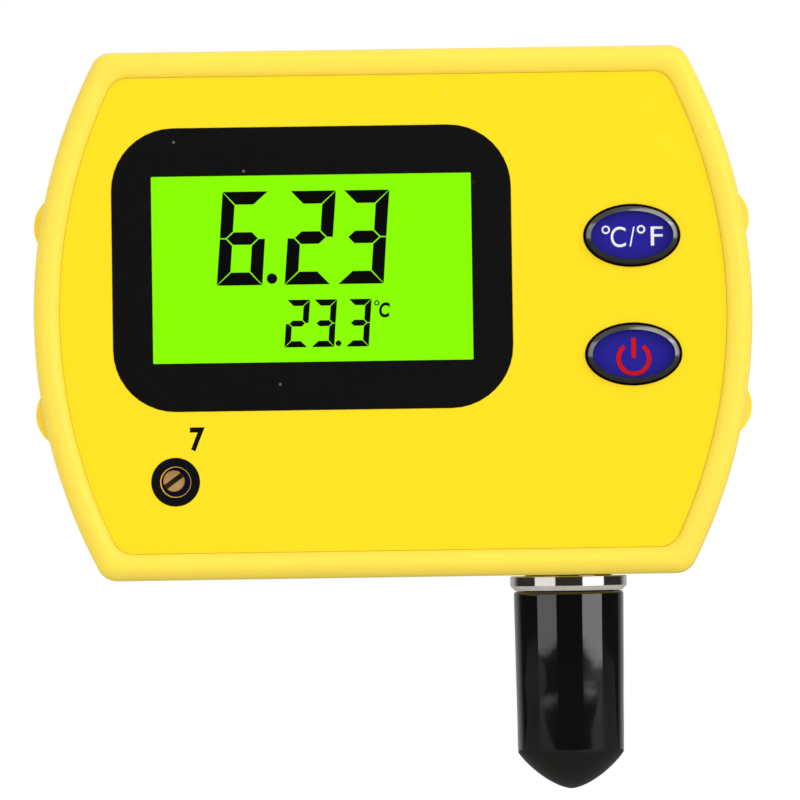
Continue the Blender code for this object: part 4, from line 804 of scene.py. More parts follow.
def rounded_rectangle(mesh, centre, width, height, radius, y):
    x, z = centre
    right = x + width / 2
    left = x - width / 2
    top = z + height / 2
    bottom = z - height / 2
    turn = math.pi / 2
    pen = Pen(mesh, right, bottom + radius, y)
    pen.line(right, top - radius)
    pen.arc(right - radius, top - radius, turn)
    pen.line(left + radius, top)
    pen.arc(left + radius, top - radius, turn)
    pen.line(left, bottom + radius)
    pen.arc(left + radius, bottom + radius, turn)
    pen.line(right - radius, bottom)
    pen.arc(right - radius, bottom + radius, turn)
    return pen.close()


def oval(mesh, centre, width, height, y, steps=ROUND_STEPS):
    stretch = Matrix.Diagonal((width, height, 1.0, 1.0))
    stand = facing_front(centre[0], y, centre[1])
    made = bmesh.ops.create_circle(mesh, segments=steps, radius=0.5, matrix=stand @ stretch)
    return loop_edges(made["verts"][0])


def button_hole(mesh, name, y):
    """The opening round a button, in the plane of that y."""
    buttons = bpy.context.scene.ph_meter_buttons
    return oval(mesh, node_centre(f"{name}_body"), buttons.width + 2 * GAP, buttons.height + 2 * GAP, y)


def case_ring(mesh, inset, y):
    """The case's arc-sided outline, drawn in by inset."""
    case = bpy.context.scene.ph_meter_case
    bulge = (case.width - case.top_width) / 2
    side = ((case.height / 2) ** 2 + bulge**2) / (2 * bulge)
    centre_x = case.width / 2 - side
    radius = side - inset
    corner = case.corner_radius
    corner_z = case.height / 2 - inset - corner
    corner_x = centre_x + math.sqrt((radius - corner) ** 2 - corner_z**2)
    turn = math.atan2(corner_z, corner_x - centre_x)
    rest = math.pi / 2 - turn
    pen = Pen(mesh, centre_x + radius * math.cos(turn), -radius * math.sin(turn), y)
    pen.arc(centre_x, 0.0, 2 * turn, SIDE_STEPS)
    pen.arc(corner_x, corner_z, rest)
    pen.line(-corner_x, corner_z + corner)
    pen.arc(-corner_x, corner_z, rest)
    pen.arc(-centre_x, 0.0, 2 * turn, SIDE_STEPS)
    pen.arc(-corner_x, -corner_z, rest)
    pen.line(corner_x, -corner_z - corner)
    pen.arc(corner_x, -corner_z, rest)
    return pen.close()


def keyhole(mesh, y):
    """A round entry for a screw head with a narrow slot rising from it."""
    meet = math.acos(KEYHOLE_SLOT / KEYHOLE_ENTRY)
    pen = Pen(mesh, KEYHOLE_SLOT, KEYHOLE_Z + KEYHOLE_RISE, y)
    pen.arc(0.0, KEYHOLE_Z + KEYHOLE_RISE, math.pi, SMALL_STEPS // 2)
    pen.line(-KEYHOLE_SLOT, KEYHOLE_Z + KEYHOLE_ENTRY * math.sin(meet))
    pen.arc(0.0, KEYHOLE_Z, math.pi + 2 * meet, SMALL_STEPS)
    return pen.close()


def bridge_rings(mesh, rings):
    """Join each ring to the next: two rings in one plane by a flat fill, others by a wall."""
    for one, two in zip(rings, rings[1:]):
        if abs(one[0].verts[0].co.y - two[0].verts[0].co.y) < MERGE_DISTANCE:
            fill_plate(mesh, [one, two])
        else:
            bmesh.ops.bridge_loops(mesh, edges=one + two)


def fill_plate(mesh, loops):
    """Fill a flat outline around the holes in it."""
    edges = [edge for loop in loops for edge in loop]
    made = bmesh.ops.triangle_fill(mesh, use_beauty=True, edges=edges, normal=(0.0, -1.0, 0.0))
    return [item for item in made["geom"] if isinstance(item, bmesh.types.BMFace)]


def close_stack(mesh, rings):
    """A solid whose walls follow the rings, closed at the first and the last."""
    bridge_rings(mesh, rings)
    fill_plate(mesh, [rings[0]])
    fill_plate(mesh, [rings[-1]])
    return mesh


def thicken(mesh, faces, depth):
    """Give a flat plate its thickness towards +Y."""
    made = bmesh.ops.extrude_face_region(mesh, geom=faces, use_keep_orig=True)
    moved = [item for item in made["geom"] if isinstance(item, bmesh.types.BMVert)]
    bmesh.ops.translate(mesh, verts=moved, vec=(0.0, depth, 0.0))


def slab(mesh, loops, depth):
    """A plate of that depth from its outline and the holes in it."""
    thicken(mesh, fill_plate(mesh, loops), depth)
    return mesh


def soften(mesh, width, segments=3, chosen=None):
    """Round every sharp edge, or only those that chosen picks."""
    bmesh.ops.recalc_face_normals(mesh, faces=mesh.faces)
    edges = [edge for edge in mesh.edges if edge.calc_face_angle(0.0) > SHARP_ANGLE]
    edges = [edge for edge in edges if chosen is None or chosen(edge)]
    bmesh.ops.bevel(
        mesh,
        geom=edges,
        offset=width,
        segments=segments,
        profile=0.5,
        affect="EDGES",
        material=-1,
        clamp_overlap=True,
    )


def edges_at(y):
    """Picks edges that lie in the plane of that y."""
    return lambda edge: all(abs(vertex.co.y - y) < MERGE_DISTANCE for vertex in edge.verts)


def block(mesh, low, high):
    low = Vector(low)
    high = Vector(high)
    place = Matrix.Translation((low + high) / 2) @ Matrix.Diagonal((*(high - low), 1.0))
    bmesh.ops.create_cube(mesh, size=1.0, matrix=place)
    return mesh


def rod(mesh, radius, depth, matrix, steps=SMALL_STEPS):
    bmesh.ops.create_cone(
        mesh, cap_ends=True, segments=steps, radius1=radius, radius2=radius, depth=depth, matrix=matrix
    )
    return mesh


def pillar(mesh, place, radius, front_y, back_y, steps=SMALL_STEPS):
    """A rod from front to back."""
    stand = facing_front(place[0], (front_y + back_y) / 2, place[1])
    return rod(mesh, radius, back_y - front_y, stand, steps)


def lathe(points, ring=False, steps=ROUND_STEPS):
    """Turn a profile of (radius, height) points about the Z axis."""
    mesh = bmesh.new()
    row = [mesh.verts.new((radius, 0.0, height)) for radius, height in points]
    edges = [mesh.edges.new(pair) for pair in zip(row, row[1:])]
    if ring:
        edges.append(mesh.edges.new((row[-1], row[0])))
    bmesh.ops.spin(
        mesh,
        geom=row + edges,
        cent=(0.0, 0.0, 0.0),
        axis=(0.0, 0.0, 1.0),
        angle=math.tau,
        steps=steps,
        use_merge=True,
    )
    close_mesh(mesh)
    return mesh


def close_mesh(mesh):
    bmesh.ops.remove_doubles(mesh, verts=mesh.verts, dist=MERGE_DISTANCE)
    bmesh.ops.dissolve_degenerate(mesh, edges=mesh.edges, dist=MERGE_DISTANCE)
    bmesh.ops.recalc_face_normals(mesh, faces=mesh.faces)


def move(mesh, matrix):
    bmesh.ops.transform(mesh, matrix=matrix, verts=mesh.verts)


def mesh_data(name, mesh):
    close_mesh(mesh)
    data = bpy.data.meshes.new(name)
    mesh.to_mesh(data)
    mesh.free()
    return data


def evaluated(curve):
    """The mesh that a text or curve makes."""
    shown = bpy.data.objects.new(curve.name, curve)
    bpy.context.scene.collection.objects.link(shown)
    bpy.context.view_layer.update()
    made = shown.evaluated_get(bpy.context.evaluated_depsgraph_get())
    mesh = bmesh.new()
    mesh.from_mesh(bpy.data.meshes.new_from_object(made))
    bpy.data.objects.remove(shown)
    return mesh


def carve(mesh, joined=(), cut=()):
    """Join some tools to a solid, then cut others from it."""
    linked = bpy.context.scene.collection.objects
    solid = bpy.data.objects.new("solid", mesh_data("solid", mesh))
    linked.link(solid)
    used = [solid]
    for operation, tools in (("UNION", joined), ("DIFFERENCE", cut)):
        for tool in tools:
            helper = bpy.data.objects.new("tool", mesh_data("tool", tool))
            linked.link(helper)
            used.append(helper)
            modifier = solid.modifiers.new("carve", "BOOLEAN")
            modifier.operation = operation
            modifier.solver = "EXACT"
            modifier.object = helper
    bpy.context.view_layer.update()
    carved = bmesh.new()
    carved.from_object(solid, bpy.context.evaluated_depsgraph_get())
    for thing in used:
        bpy.data.objects.remove(thing)
    return carved


def add_piece(name, mesh, node, ink=None, second=None):
    """Put a piece on the body and slot of a CAD node, which it stands for unless it is a print."""
    data = mesh_data(name, mesh)
    data.shade_smooth()
    data.set_sharp_from_angle(angle=SHARP_ANGLE)
    data.materials.append(finish(ink or SLOT_OF[node]))
    if second:
        data.materials.append(finish(second))
    piece = bpy.data.objects.new(name, data)
    bpy.context.scene.collection.objects.link(piece)
    flat = piece.modifiers.new("flat_faces", "WEIGHTED_NORMAL")
    flat.keep_sharp = True
    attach(piece, BODY_OF[node])
    if ink is None:
        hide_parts(node)


def add_on_jack(name, mesh, node, second=None):
    """Put a piece that was turned about the Z axis on the jack's axis."""
    move(mesh, JACK_AXIS)
    add_piece(name, mesh, node, second=second)


def lettering(text, left, base, width, height, y, weight=0.0, slant=0.0):
    """Print on a plane of that y that fills the box whose lower left corner is (left, base)."""
    curve = bpy.data.curves.new("print", "FONT")
    curve.body = text
    curve.offset = weight
    curve.shear = slant
    curve.extrude = 0.5
    mesh = evaluated(curve)
    low = Vector([min(vertex.co[axis] for vertex in mesh.verts) for axis in range(3)])
    high = Vector([max(vertex.co[axis] for vertex in mesh.verts) for axis in range(3)])
    size = high - low
    fit = Matrix.Diagonal((width / size.x, height / size.y, PRINT_THICKNESS / size.z, 1.0))
    move(mesh, facing_front(left, y, base) @ fit @ Matrix.Translation((-low.x, -low.y, -high.z)))
    return mesh


def print_ring(mesh, centre, outer, inner, y):
    """A printed ring whose back lies in the plane of that y."""
    front = y - PRINT_THICKNESS
    loops = [oval(mesh, centre, 2 * radius, 2 * radius, front, SMALL_STEPS) for radius in (outer, inner)]
    return slab(mesh, loops, PRINT_THICKNESS)


def segment_points(letter, width, height, bar):
    """Corners of one mitred segment of a digit, anticlockwise."""
    middle = height / 2
    half = bar / 2
    rows = {
        "a": [(0, height), (bar, height - bar), (width - bar, height - bar), (width, height)],
        "d": [(0, 0), (width, 0), (width - bar, bar), (bar, bar)],
        "g": [(half, middle), (bar, middle - half), (width - bar, middle - half), (width - half, middle)],
        "f": [(0, height), (0, middle), (half, middle), (bar, middle + half), (bar, height - bar)],
        "e": [(0, middle), (0, 0), (bar, bar), (bar, middle - half), (half, middle)],
    }
    rows["g"] += [(width - bar, middle + half), (bar, middle + half)]
    rows["b"] = [(width - x, z) for x, z in reversed(rows["f"])]
    rows["c"] = [(width - x, z) for x, z in reversed(rows["e"])]
    return rows[letter]


def add_digit(mesh, digit, left, base, width, height, bar, split, y):
    """A slanted seven-segment digit whose segments are drawn apart by split."""
    faces = []
    for letter in SEGMENTS_OF[digit]:
        corners = segment_points(letter, width, height, bar)
        faces.append(mesh.faces.new([mesh.verts.new((x, y, z)) for x, z in corners]))
        faces[-1].normal_update()
    rims = bmesh.ops.inset_individual(mesh, faces=faces, thickness=split / 2)["faces"]
    bmesh.ops.delete(mesh, geom=rims, context="FACES")
    corners = list({vertex for face in faces for vertex in face.verts})
    slant = Matrix.Identity(4)
    slant[0][2] = DIGIT_SLANT
    bmesh.ops.transform(mesh, matrix=Matrix.Translation((left, 0.0, base)) @ slant, verts=corners)
    thicken(mesh, faces, PRINT_THICKNESS)


def door_plate(margin, depth):
    """The battery door's flat plate, larger by margin all round and that deep."""
    mesh = bmesh.new()
    size = (DOOR_WIDTH + 2 * margin, DOOR_HEIGHT + 2 * margin, DOOR_CORNER + margin)
    outline = rounded_rectangle(mesh, (0.0, DOOR_MIDDLE_Z), *size, DOOR_FRONT_Y - margin)
    return slab(mesh, [outline], depth)


def door_tongues(margin, front_y, back_y, low_z, high_z):
    """Two blocks where the door's tongues are, wider by margin at each side."""
    mesh = bmesh.new()
    half = TONGUE_WIDTH / 2 + margin
    for middle in (-TONGUE_PITCH / 2, TONGUE_PITCH / 2):
        block(mesh, (middle - half, front_y, low_z), (middle + half, back_y, high_z))
    return mesh


class PH_METER_OT_inner_parts(Operator):
    """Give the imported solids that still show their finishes"""

    bl_idname = "ph_meter.inner_parts"
    bl_label = "Inner parts"

    def execute(self, context):
        for name, node in NODES.items():
            node.data.materials.clear()
            node.data.materials.append(finish(SLOT_OF[name]))
        return {"FINISHED"}


class PH_METER_OT_front_shell(Operator):
    """Model the front shell with its bead rim, window seat and holes"""

    bl_idname = "ph_meter.front_shell"
    bl_label = "Front shell"

    def execute(self, context):
        mesh = bmesh.new()
        rings = [case_ring(mesh, inset, y) for inset, y in self.profile(context.scene.ph_meter_case)]
        through = (FACE_Y, FACE_INNER_Y)
        hole = (TRIMMER_HOLE, TRIMMER_CASE_HOLE, TRIMMER_CASE_HOLE)
        holes = [self.window_seat(mesh, context.scene.ph_meter_display)]
        holes += [[button_hole(mesh, name, y) for y in through] for name in BUTTONS]
        holes.append([oval(mesh, *hole, y, SMALL_STEPS) for y in through])
        for loops in (rings, *holes):
            bridge_rings(mesh, loops)
        fill_plate(mesh, [rings[-1], *(loops[0] for loops in holes)])
        fill_plate(mesh, [rings[0], *(loops[-1] for loops in holes)])
        add_piece("bead_rim_shell", mesh, "front_shell")
        return {"FINISHED"}

    def profile(self, case):
        """Insets and planes from inside the face, round the seam and the bead, to the face."""
        rebate_y = FRONT_EDGE_Y - LIP_DEPTH - GAP
        rebate = LIP_INSET - GAP
        inner_width = case.rim_width - case.crest_inset
        points = [(WALL, FACE_INNER_Y), (WALL, rebate_y), (rebate, rebate_y), (rebate, FRONT_EDGE_Y)]
        points += [(SEAM_CHAMFER, FRONT_EDGE_Y), (0.0, FRONT_EDGE_Y - SEAM_CHAMFER)]
        for cosine, sine in quarter(RIM_STEPS)[:-1]:
            points.append((case.crest_inset * (1 - cosine), FRONT_Y + case.shoulder * (1 - sine)))
        for cosine, sine in quarter(RIM_STEPS):
            points.append((case.crest_inset + inner_width * sine, FACE_Y - case.rim_height * cosine))
        return points

    def window_seat(self, mesh, display):
        """Loops of the pane's seat and of the opening behind it."""
        pane = WINDOW_HIGH - WINDOW_LOW
        floor = WINDOW_HIGH.y + GAP
        seat = (pane.x + 2 * GAP, pane.z + 2 * GAP, SEAT_CORNER)
        view = (display.view_width + VIEW_MARGIN, display.view_height + VIEW_MARGIN, OPENING_CORNER)
        steps = [(seat, FACE_Y), (seat, floor), (view, floor), (view, FACE_INNER_Y)]
        return [rounded_rectangle(mesh, DISPLAY_CENTRE, *size, y) for size, y in steps]


class PH_METER_OT_rear_shell(Operator):
    """Model the rear shell with its screw posts, battery bay, keyhole and jack hole"""

    bl_idname = "ph_meter.rear_shell"
    bl_label = "Rear shell"

    def execute(self, context):
        lip_inner = LIP_INSET + LIP_THICKNESS
        lip_y = REAR_EDGE_Y - LIP_DEPTH
        profile = [(WALL, -WALL), (WALL, REAR_EDGE_Y), (lip_inner, REAR_EDGE_Y), (lip_inner, lip_y)]
        profile += [(LIP_INSET, lip_y), (LIP_INSET, REAR_EDGE_Y)]
        profile += [(SEAM_CHAMFER, REAR_EDGE_Y), (0.0, REAR_EDGE_Y + SEAM_CHAMFER)]
        for cosine, sine in quarter(RIM_STEPS):
            profile.append((BACK_ROUND * (1 - cosine), BACK_ROUND * (sine - 1)))
        shell = bmesh.new()
        close_stack(shell, [case_ring(shell, inset, y) for inset, y in profile])

        posts = bmesh.new()
        bores = bmesh.new()
        shanks = bmesh.new()
        radius = context.scene.ph_meter_case.post_radius
        for number in SCREWS:
            place = node_centre(f"case_screw_{number}")
            pillar(posts, place, radius, REAR_EDGE_Y + GAP, POST_END_Y, ROUND_STEPS)
            pillar(bores, place, SCREW_BORE, SCREW_SEAT_Y, CUT_MARGIN)
            pillar(shanks, place, SCREW_SHANK_BORE, lip_y - CUT_MARGIN, SCREW_SEAT_Y + CUT_MARGIN)
        soften(posts, POST_ROUND, POST_ROUND_STEPS, edges_at(POST_END_Y))

        bay_low = BAY_LOW - Vector((BAY_WALL, BAY_WALL, BAY_WALL))
        bay = block(bmesh.new(), bay_low, (BAY_HIGH.x + BAY_WALL, -WALL / 2, BAY_HIGH.z + BAY_WALL))
        room = block(bmesh.new(), BAY_LOW, (BAY_HIGH.x, CUT_MARGIN, BAY_HIGH.z))
        recess = door_plate(GAP, CUT_MARGIN - DOOR_FRONT_Y + GAP)
        slot = (TONGUE_SLOT_FRONT, TONGUE_SLOT_BACK, BAY_HIGH.z - CUT_MARGIN, DOOR_HIGH.z + GAP)
        slots = door_tongues(GAP, *slot)
        hanger = bmesh.new()
        slab(hanger, [keyhole(hanger, -WALL - CUT_MARGIN)], WALL + 2 * CUT_MARGIN)
        thumb = ((0.0, DOOR_LOW.z), THUMB_NOTCH_RADIUS, -THUMB_NOTCH_DEPTH, CUT_MARGIN)
        notch = pillar(bmesh.new(), *thumb, ROUND_STEPS)
        wall_middle = Matrix.Translation((JACK_X, JACK_Y, REAR_LOW.z))
        jack_hole = rod(bmesh.new(), JACK_HOLE_RADIUS, 2 * (WALL + CUT_MARGIN), wall_middle, ROUND_STEPS)
        cut = (room, recess, slots, hanger, notch, bores, shanks, jack_hole)
        add_piece("post_shell", carve(shell, (posts, bay), cut), "rear_shell")
        return {"FINISHED"}


class PH_METER_OT_battery_door(Operator):
    """Model the battery door with its tongues, latch leg and grip ribs"""

    bl_idname = "ph_meter.battery_door"
    bl_label = "Battery door"

    def execute(self, context):
        door = door_plate(0.0, DOOR_THICKNESS)
        soften(door, DOOR_EDGE, 3, edges_at(DOOR_BACK_Y))
        tongue_back = DOOR_FRONT_Y + TONGUE_THICKNESS
        fittings = door_tongues(0.0, DOOR_FRONT_Y, tongue_back, DOOR_TOP_Z - DOOR_CORNER, DOOR_HIGH.z)
        latch_z = BAY_LOW.z + LATCH_INSET
        latch_high = (LATCH_HALF, DOOR_FRONT_Y + LATCH_ROOT, latch_z + LATCH_THICKNESS)
        block(fittings, (-LATCH_HALF, DOOR_LOW.y, latch_z), latch_high)
        ribs = bmesh.new()
        for number in range(RIB_COUNT):
            rib_z = DOOR_LOW.z + RIB_START + number * RIB_PITCH
            rib_high = (RIB_HALF, DOOR_BACK_Y + RIB_PROUD, rib_z + RIB_HEIGHT)
            block(ribs, (-RIB_HALF, DOOR_BACK_Y - RIB_ROOT, rib_z), rib_high)
        soften(ribs, RIB_EDGE, 2)
        add_piece("bay_door", carve(door, (fittings, ribs)), "battery_door")
        return {"FINISHED"}


class PH_METER_OT_case_screws(Operator):
    """Model the four cross-head case screws"""

    bl_idname = "ph_meter.case_screws"
    bl_label = "Case screws"

    def execute(self, context):
        for number in SCREWS:
            self.make_screw(f"case_screw_{number}", number)
        return {"FINISHED"}

    def make_screw(self, node, number):
        low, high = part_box(node)
        x, z = node_centre(node)
        head = (high.x - low.x) / 2
        span = high.y - low.y
        seat = span - SCREW_HEAD_HEIGHT
        profile = [(head * share, span - drop) for share, drop in SCREW_DOME]
        profile += [(head, seat + SCREW_HEAD_EDGE), (head, seat), (SCREW_SHANK, seat)]
        profile += [(SCREW_SHANK, SCREW_SHANK), (0.0, 0.0)]
        cross = []
        for wide, narrow in ((CROSS_REACH, CROSS_HALF), (CROSS_HALF, CROSS_REACH)):
            bar_low = (-wide, -narrow, span - CROSS_DEPTH)
            cross.append(block(bmesh.new(), bar_low, (wide, narrow, span + CUT_MARGIN)))
        screw = carve(lathe(profile, steps=SMALL_STEPS), cut=cross)
        facing_back = Matrix.Translation((x, low.y, z)) @ Matrix.Rotation(-math.pi / 2, 4, "X")
        move(screw, facing_back @ Matrix.Rotation(number * SCREW_TWIST, 4, "Z"))
        add_piece(f"cross_head_{number}", screw, node)


class PH_METER_OT_face(Operator):
    """Model the yellow face film, the black bezel and the clear window"""

    bl_idname = "ph_meter.face"
    bl_label = "Face"

    def execute(self, context):
        display = context.scene.ph_meter_display
        bezel = BEZEL_HIGH - BEZEL_LOW
        self.make_film(context.scene.ph_meter_case, display, bezel)

        mesh = bmesh.new()
        front = BEZEL_LOW.y
        outer = rounded_rectangle(mesh, DISPLAY_CENTRE, bezel.x, bezel.z, display.bezel_radius, front)
        view = (display.view_width, display.view_height, VIEW_CORNER, front)
        slab(mesh, [outer, rounded_rectangle(mesh, DISPLAY_CENTRE, *view)], bezel.y)
        soften(mesh, FILM_EDGE, 2, edges_at(front))
        add_piece("black_bezel", mesh, "display_bezel")

        pane = bmesh.new()
        size = WINDOW_HIGH - WINDOW_LOW
        outline = rounded_rectangle(pane, DISPLAY_CENTRE, size.x, size.z, PANE_CORNER, WINDOW_LOW.y)
        slab(pane, [outline], size.y)
        soften(pane, PANE_EDGE, 2)
        add_piece("clear_pane", pane, "display_window")
        return {"FINISHED"}

    def make_film(self, case, display, bezel):
        """The film fits inside the rim and round the bezel, the buttons and the trimmer."""
        film = bmesh.new()
        sides = []
        opening = (bezel.x + 2 * FILM_FIT, bezel.z + 2 * FILM_FIT, display.bezel_radius + FILM_FIT)
        hole = (TRIMMER_HOLE, TRIMMER_FILM_HOLE, TRIMMER_FILM_HOLE)
        for y in (FILM_LOW.y, FILM_HIGH.y):
            rise = (FACE_Y - y) / case.rim_height
            foot = case.crest_inset + (case.rim_width - case.crest_inset) * math.sqrt(1 - rise**2)
            loops = [case_ring(film, foot + FILM_FIT, y)]
            loops.append(rounded_rectangle(film, DISPLAY_CENTRE, *opening, y))
            loops += [button_hole(film, name, y) for name in BUTTONS]
            loops.append(oval(film, *hole, y, SMALL_STEPS))
            fill_plate(film, loops)
            sides.append(loops)
        for pair in zip(*sides):
            bridge_rings(film, pair)
        soften(film, FILM_EDGE, 2, edges_at(FILM_LOW.y))
        add_piece("printed_face", film, "face_overlay")


class PH_METER_OT_display(Operator):
    """Model the lit liquid crystal cell and its digits"""

    bl_idname = "ph_meter.display"
    bl_label = "Display"

    def execute(self, context):
        display = context.scene.ph_meter_display
        cell = block(bmesh.new(), LCD_LOW, LCD_HIGH)
        soften(cell, CELL_EDGE, 2)
        add_piece("lit_cell", cell, "lcd_cell")

        back = LCD_LOW.y - PRINT_LIFT
        front = back - PRINT_THICKNESS
        large = ("623", display.large_width, display.large_height, LARGE_ROW)
        small = ("233", display.small_width, display.small_height, SMALL_ROW)
        digits = bmesh.new()
        for text, width, height, (lefts, base, bar, split, dot, radius) in (large, small):
            for digit, left in zip(text, lefts):
                add_digit(digits, digit, left, base, width, height, bar, split, front)
            pillar(digits, dot, radius, front, back, DOT_STEPS)
        add_piece("reading_digits", digits, "lcd_cell", "lcd_ink")
        unit = lettering("C", *UNIT_BOX, back, BOLD, UNIT_SLANT)
        print_ring(unit, *UNIT_RING, back)
        add_piece("reading_unit", unit, "lcd_cell", "lcd_ink")
        return {"FINISHED"}


class PH_METER_OT_buttons(Operator):
    """Model the two oval buttons: black body, blue disc, clear lens and legend"""

    bl_idname = "ph_meter.buttons"
    bl_label = "Buttons"

    def execute(self, context):
        for name in BUTTONS:
            self.make_button(context.scene.ph_meter_buttons, name)
        self.make_unit_mark()
        self.make_power_mark()
        return {"FINISHED"}

    def make_button(self, buttons, name):
        centre = node_centre(f"{name}_body")
        low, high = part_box(f"{name}_body")
        disc_low, disc_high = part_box(f"{name}_insert")
        lens_low, lens_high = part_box(f"{name}_lens")
        disc = disc_high - disc_low
        flange_y = FACE_INNER_Y + GAP
        flange_end = flange_y + FLANGE_THICKNESS
        pocket = (disc.x + 2 * FILM_GAP, disc.z + 2 * FILM_GAP)
        flange = (high.x - low.x, high.z - low.z)
        rings = [
            (*pocket, disc_high.y + FILM_GAP),
            (*pocket, low.y),
            (buttons.width - BODY_RIM, buttons.height - BODY_RIM, low.y),
            (buttons.width, buttons.height, low.y + BODY_RIM / 2),
            (buttons.width, buttons.height, flange_y),
            (*flange, flange_y),
            (*flange, flange_end),
            (STEM_WIDTH, STEM_WIDTH, flange_end),
            (STEM_WIDTH, STEM_WIDTH, high.y),
        ]
        body = bmesh.new()
        close_stack(body, [oval(body, centre, *ring) for ring in rings])
        add_piece(f"{name}_shell", body, f"{name}_body")

        plate = bmesh.new()
        outline = oval(plate, centre, disc.x - DISC_DRAWN_IN, disc.z - DISC_DRAWN_IN, disc_low.y)
        add_piece(f"{name}_disc", slab(plate, [outline], disc.y), f"{name}_insert")

        dome = bmesh.new()
        lens = lens_high - lens_low
        loops = []
        for along, up in LENS_PROFILE:
            drawn_in = 2 * buttons.lens_bevel * along
            loops.append(oval(dome, centre, lens.x - drawn_in, lens.z - drawn_in, lens_high.y - lens.y * up))
        close_mesh(close_stack(dome, loops))
        for face in dome.faces:
            face.material_index = 1 if abs(face.normal.y) < LENS_FLAT else 0
        add_piece(f"{name}_dome", dome, f"{name}_lens", second="lens_edge")

    def make_unit_mark(self):
        """The unit legend, in white print on the upper disc."""
        x, z = node_centre("unit_button_insert")
        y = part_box("unit_button_insert")[0].y - PRINT_LIFT
        mark = bmesh.new()
        for letter, left, base, width, height in UNIT_MARK:
            data = mesh_data("sign", lettering(letter, x + left, z + base, width, height, y))
            mark.from_mesh(data)
            bpy.data.meshes.remove(data)
        for left in UNIT_MARK_RINGS:
            print_ring(mark, (x + left, z + UNIT_MARK_RING_Z), *UNIT_MARK_RING_RADII, y)
        add_piece("unit_mark", mark, "unit_button_insert", "print_white")

    def make_power_mark(self):
        """A broken ring and a bar, in red print on the lower disc."""
        x, z = node_centre("power_button_insert")
        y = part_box("power_button_insert")[0].y - PRINT_LIFT
        half = POWER_BAR / 2
        near = POWER_RADIUS - half
        far = POWER_RADIUS + half
        mark = bmesh.new()
        corners = ((near, -PRINT_THICKNESS), (far, -PRINT_THICKNESS), (far, 0.0), (near, 0.0))
        first = mark.faces.new([mark.verts.new((reach, depth, 0.0)) for reach, depth in corners])
        made = bmesh.ops.spin(
            mark,
            geom=[first, *first.edges, *first.verts],
            cent=(0.0, 0.0, 0.0),
            axis=(0.0, -1.0, 0.0),
            angle=math.radians(360 - POWER_OPENING),
            steps=SMALL_STEPS,
        )
        end = [item for item in made["geom_last"] if isinstance(item, bmesh.types.BMEdge)]
        bmesh.ops.contextual_create(mark, geom=end)
        start = Matrix.Rotation(-math.radians(90 + POWER_OPENING / 2), 4, "Y")
        move(mark, Matrix.Translation((x, y, z + POWER_DROP)) @ start)
        block(mark, (x - half, y - PRINT_THICKNESS, z + POWER_BAR_LOW), (x + half, y, z + POWER_BAR_HIGH))
        add_piece("power_mark", mark, "power_button_insert", "print_red")


class PH_METER_OT_trimmer(Operator):
    """Model the slotted brass trimmer screw, the printed ring and its number"""

    bl_idname = "ph_meter.trimmer"
    bl_label = "Trimmer"

    def execute(self, context):
        x, z = node_centre("trimmer_screw")
        head = (TRIM_HIGH.x - TRIM_LOW.x) / 2
        span = TRIM_HIGH.y - TRIM_LOW.y
        profile = [(0.0, span), (head - TRIM_CHAMFER, span), (head, span - TRIM_CHAMFER), (head, TRIM_NECK)]
        profile += [(TRIM_STEM, TRIM_NECK), (TRIM_STEM, 0.0), (0.0, 0.0)]
        slot_low = (-2 * head, -SLOT_HALF, span - SLOT_DEPTH)
        slot = block(bmesh.new(), slot_low, (2 * head, SLOT_HALF, span + CUT_MARGIN))
        screw = carve(lathe(profile, steps=SMALL_STEPS), cut=[slot])
        # the faces inside the slot take the darker brass, a painted shade of the recess
        for face in screw.faces:
            middle = face.calc_center_median()
            depth = span - middle.z
            inside = abs(middle.y) < SLOT_HALF + SLOT_SLACK and CUT_SKIN < depth < SLOT_DEPTH + CUT_SKIN
            face.material_index = 1 if inside else 0
        move(screw, facing_front(x, TRIM_HIGH.y, z) @ Matrix.Rotation(TRIM_TURN, 4, "Z"))
        add_piece("slotted_head", screw, "trimmer_screw", second="brass_slot_painted_shade")

        y = FILM_LOW.y - PRINT_LIFT
        radii = (TRIMMER_RING / 2, TRIMMER_FILM_HOLE / 2 + FILM_EDGE)
        ring = print_ring(bmesh.new(), TRIMMER_HOLE, *radii, y)
        add_piece("trimmer_ring", ring, "face_overlay", "print_black")
        add_piece("trimmer_number", lettering("7", *NUMBER_BOX, y, BOLD), "face_overlay", "print_black")
        return {"FINISHED"}


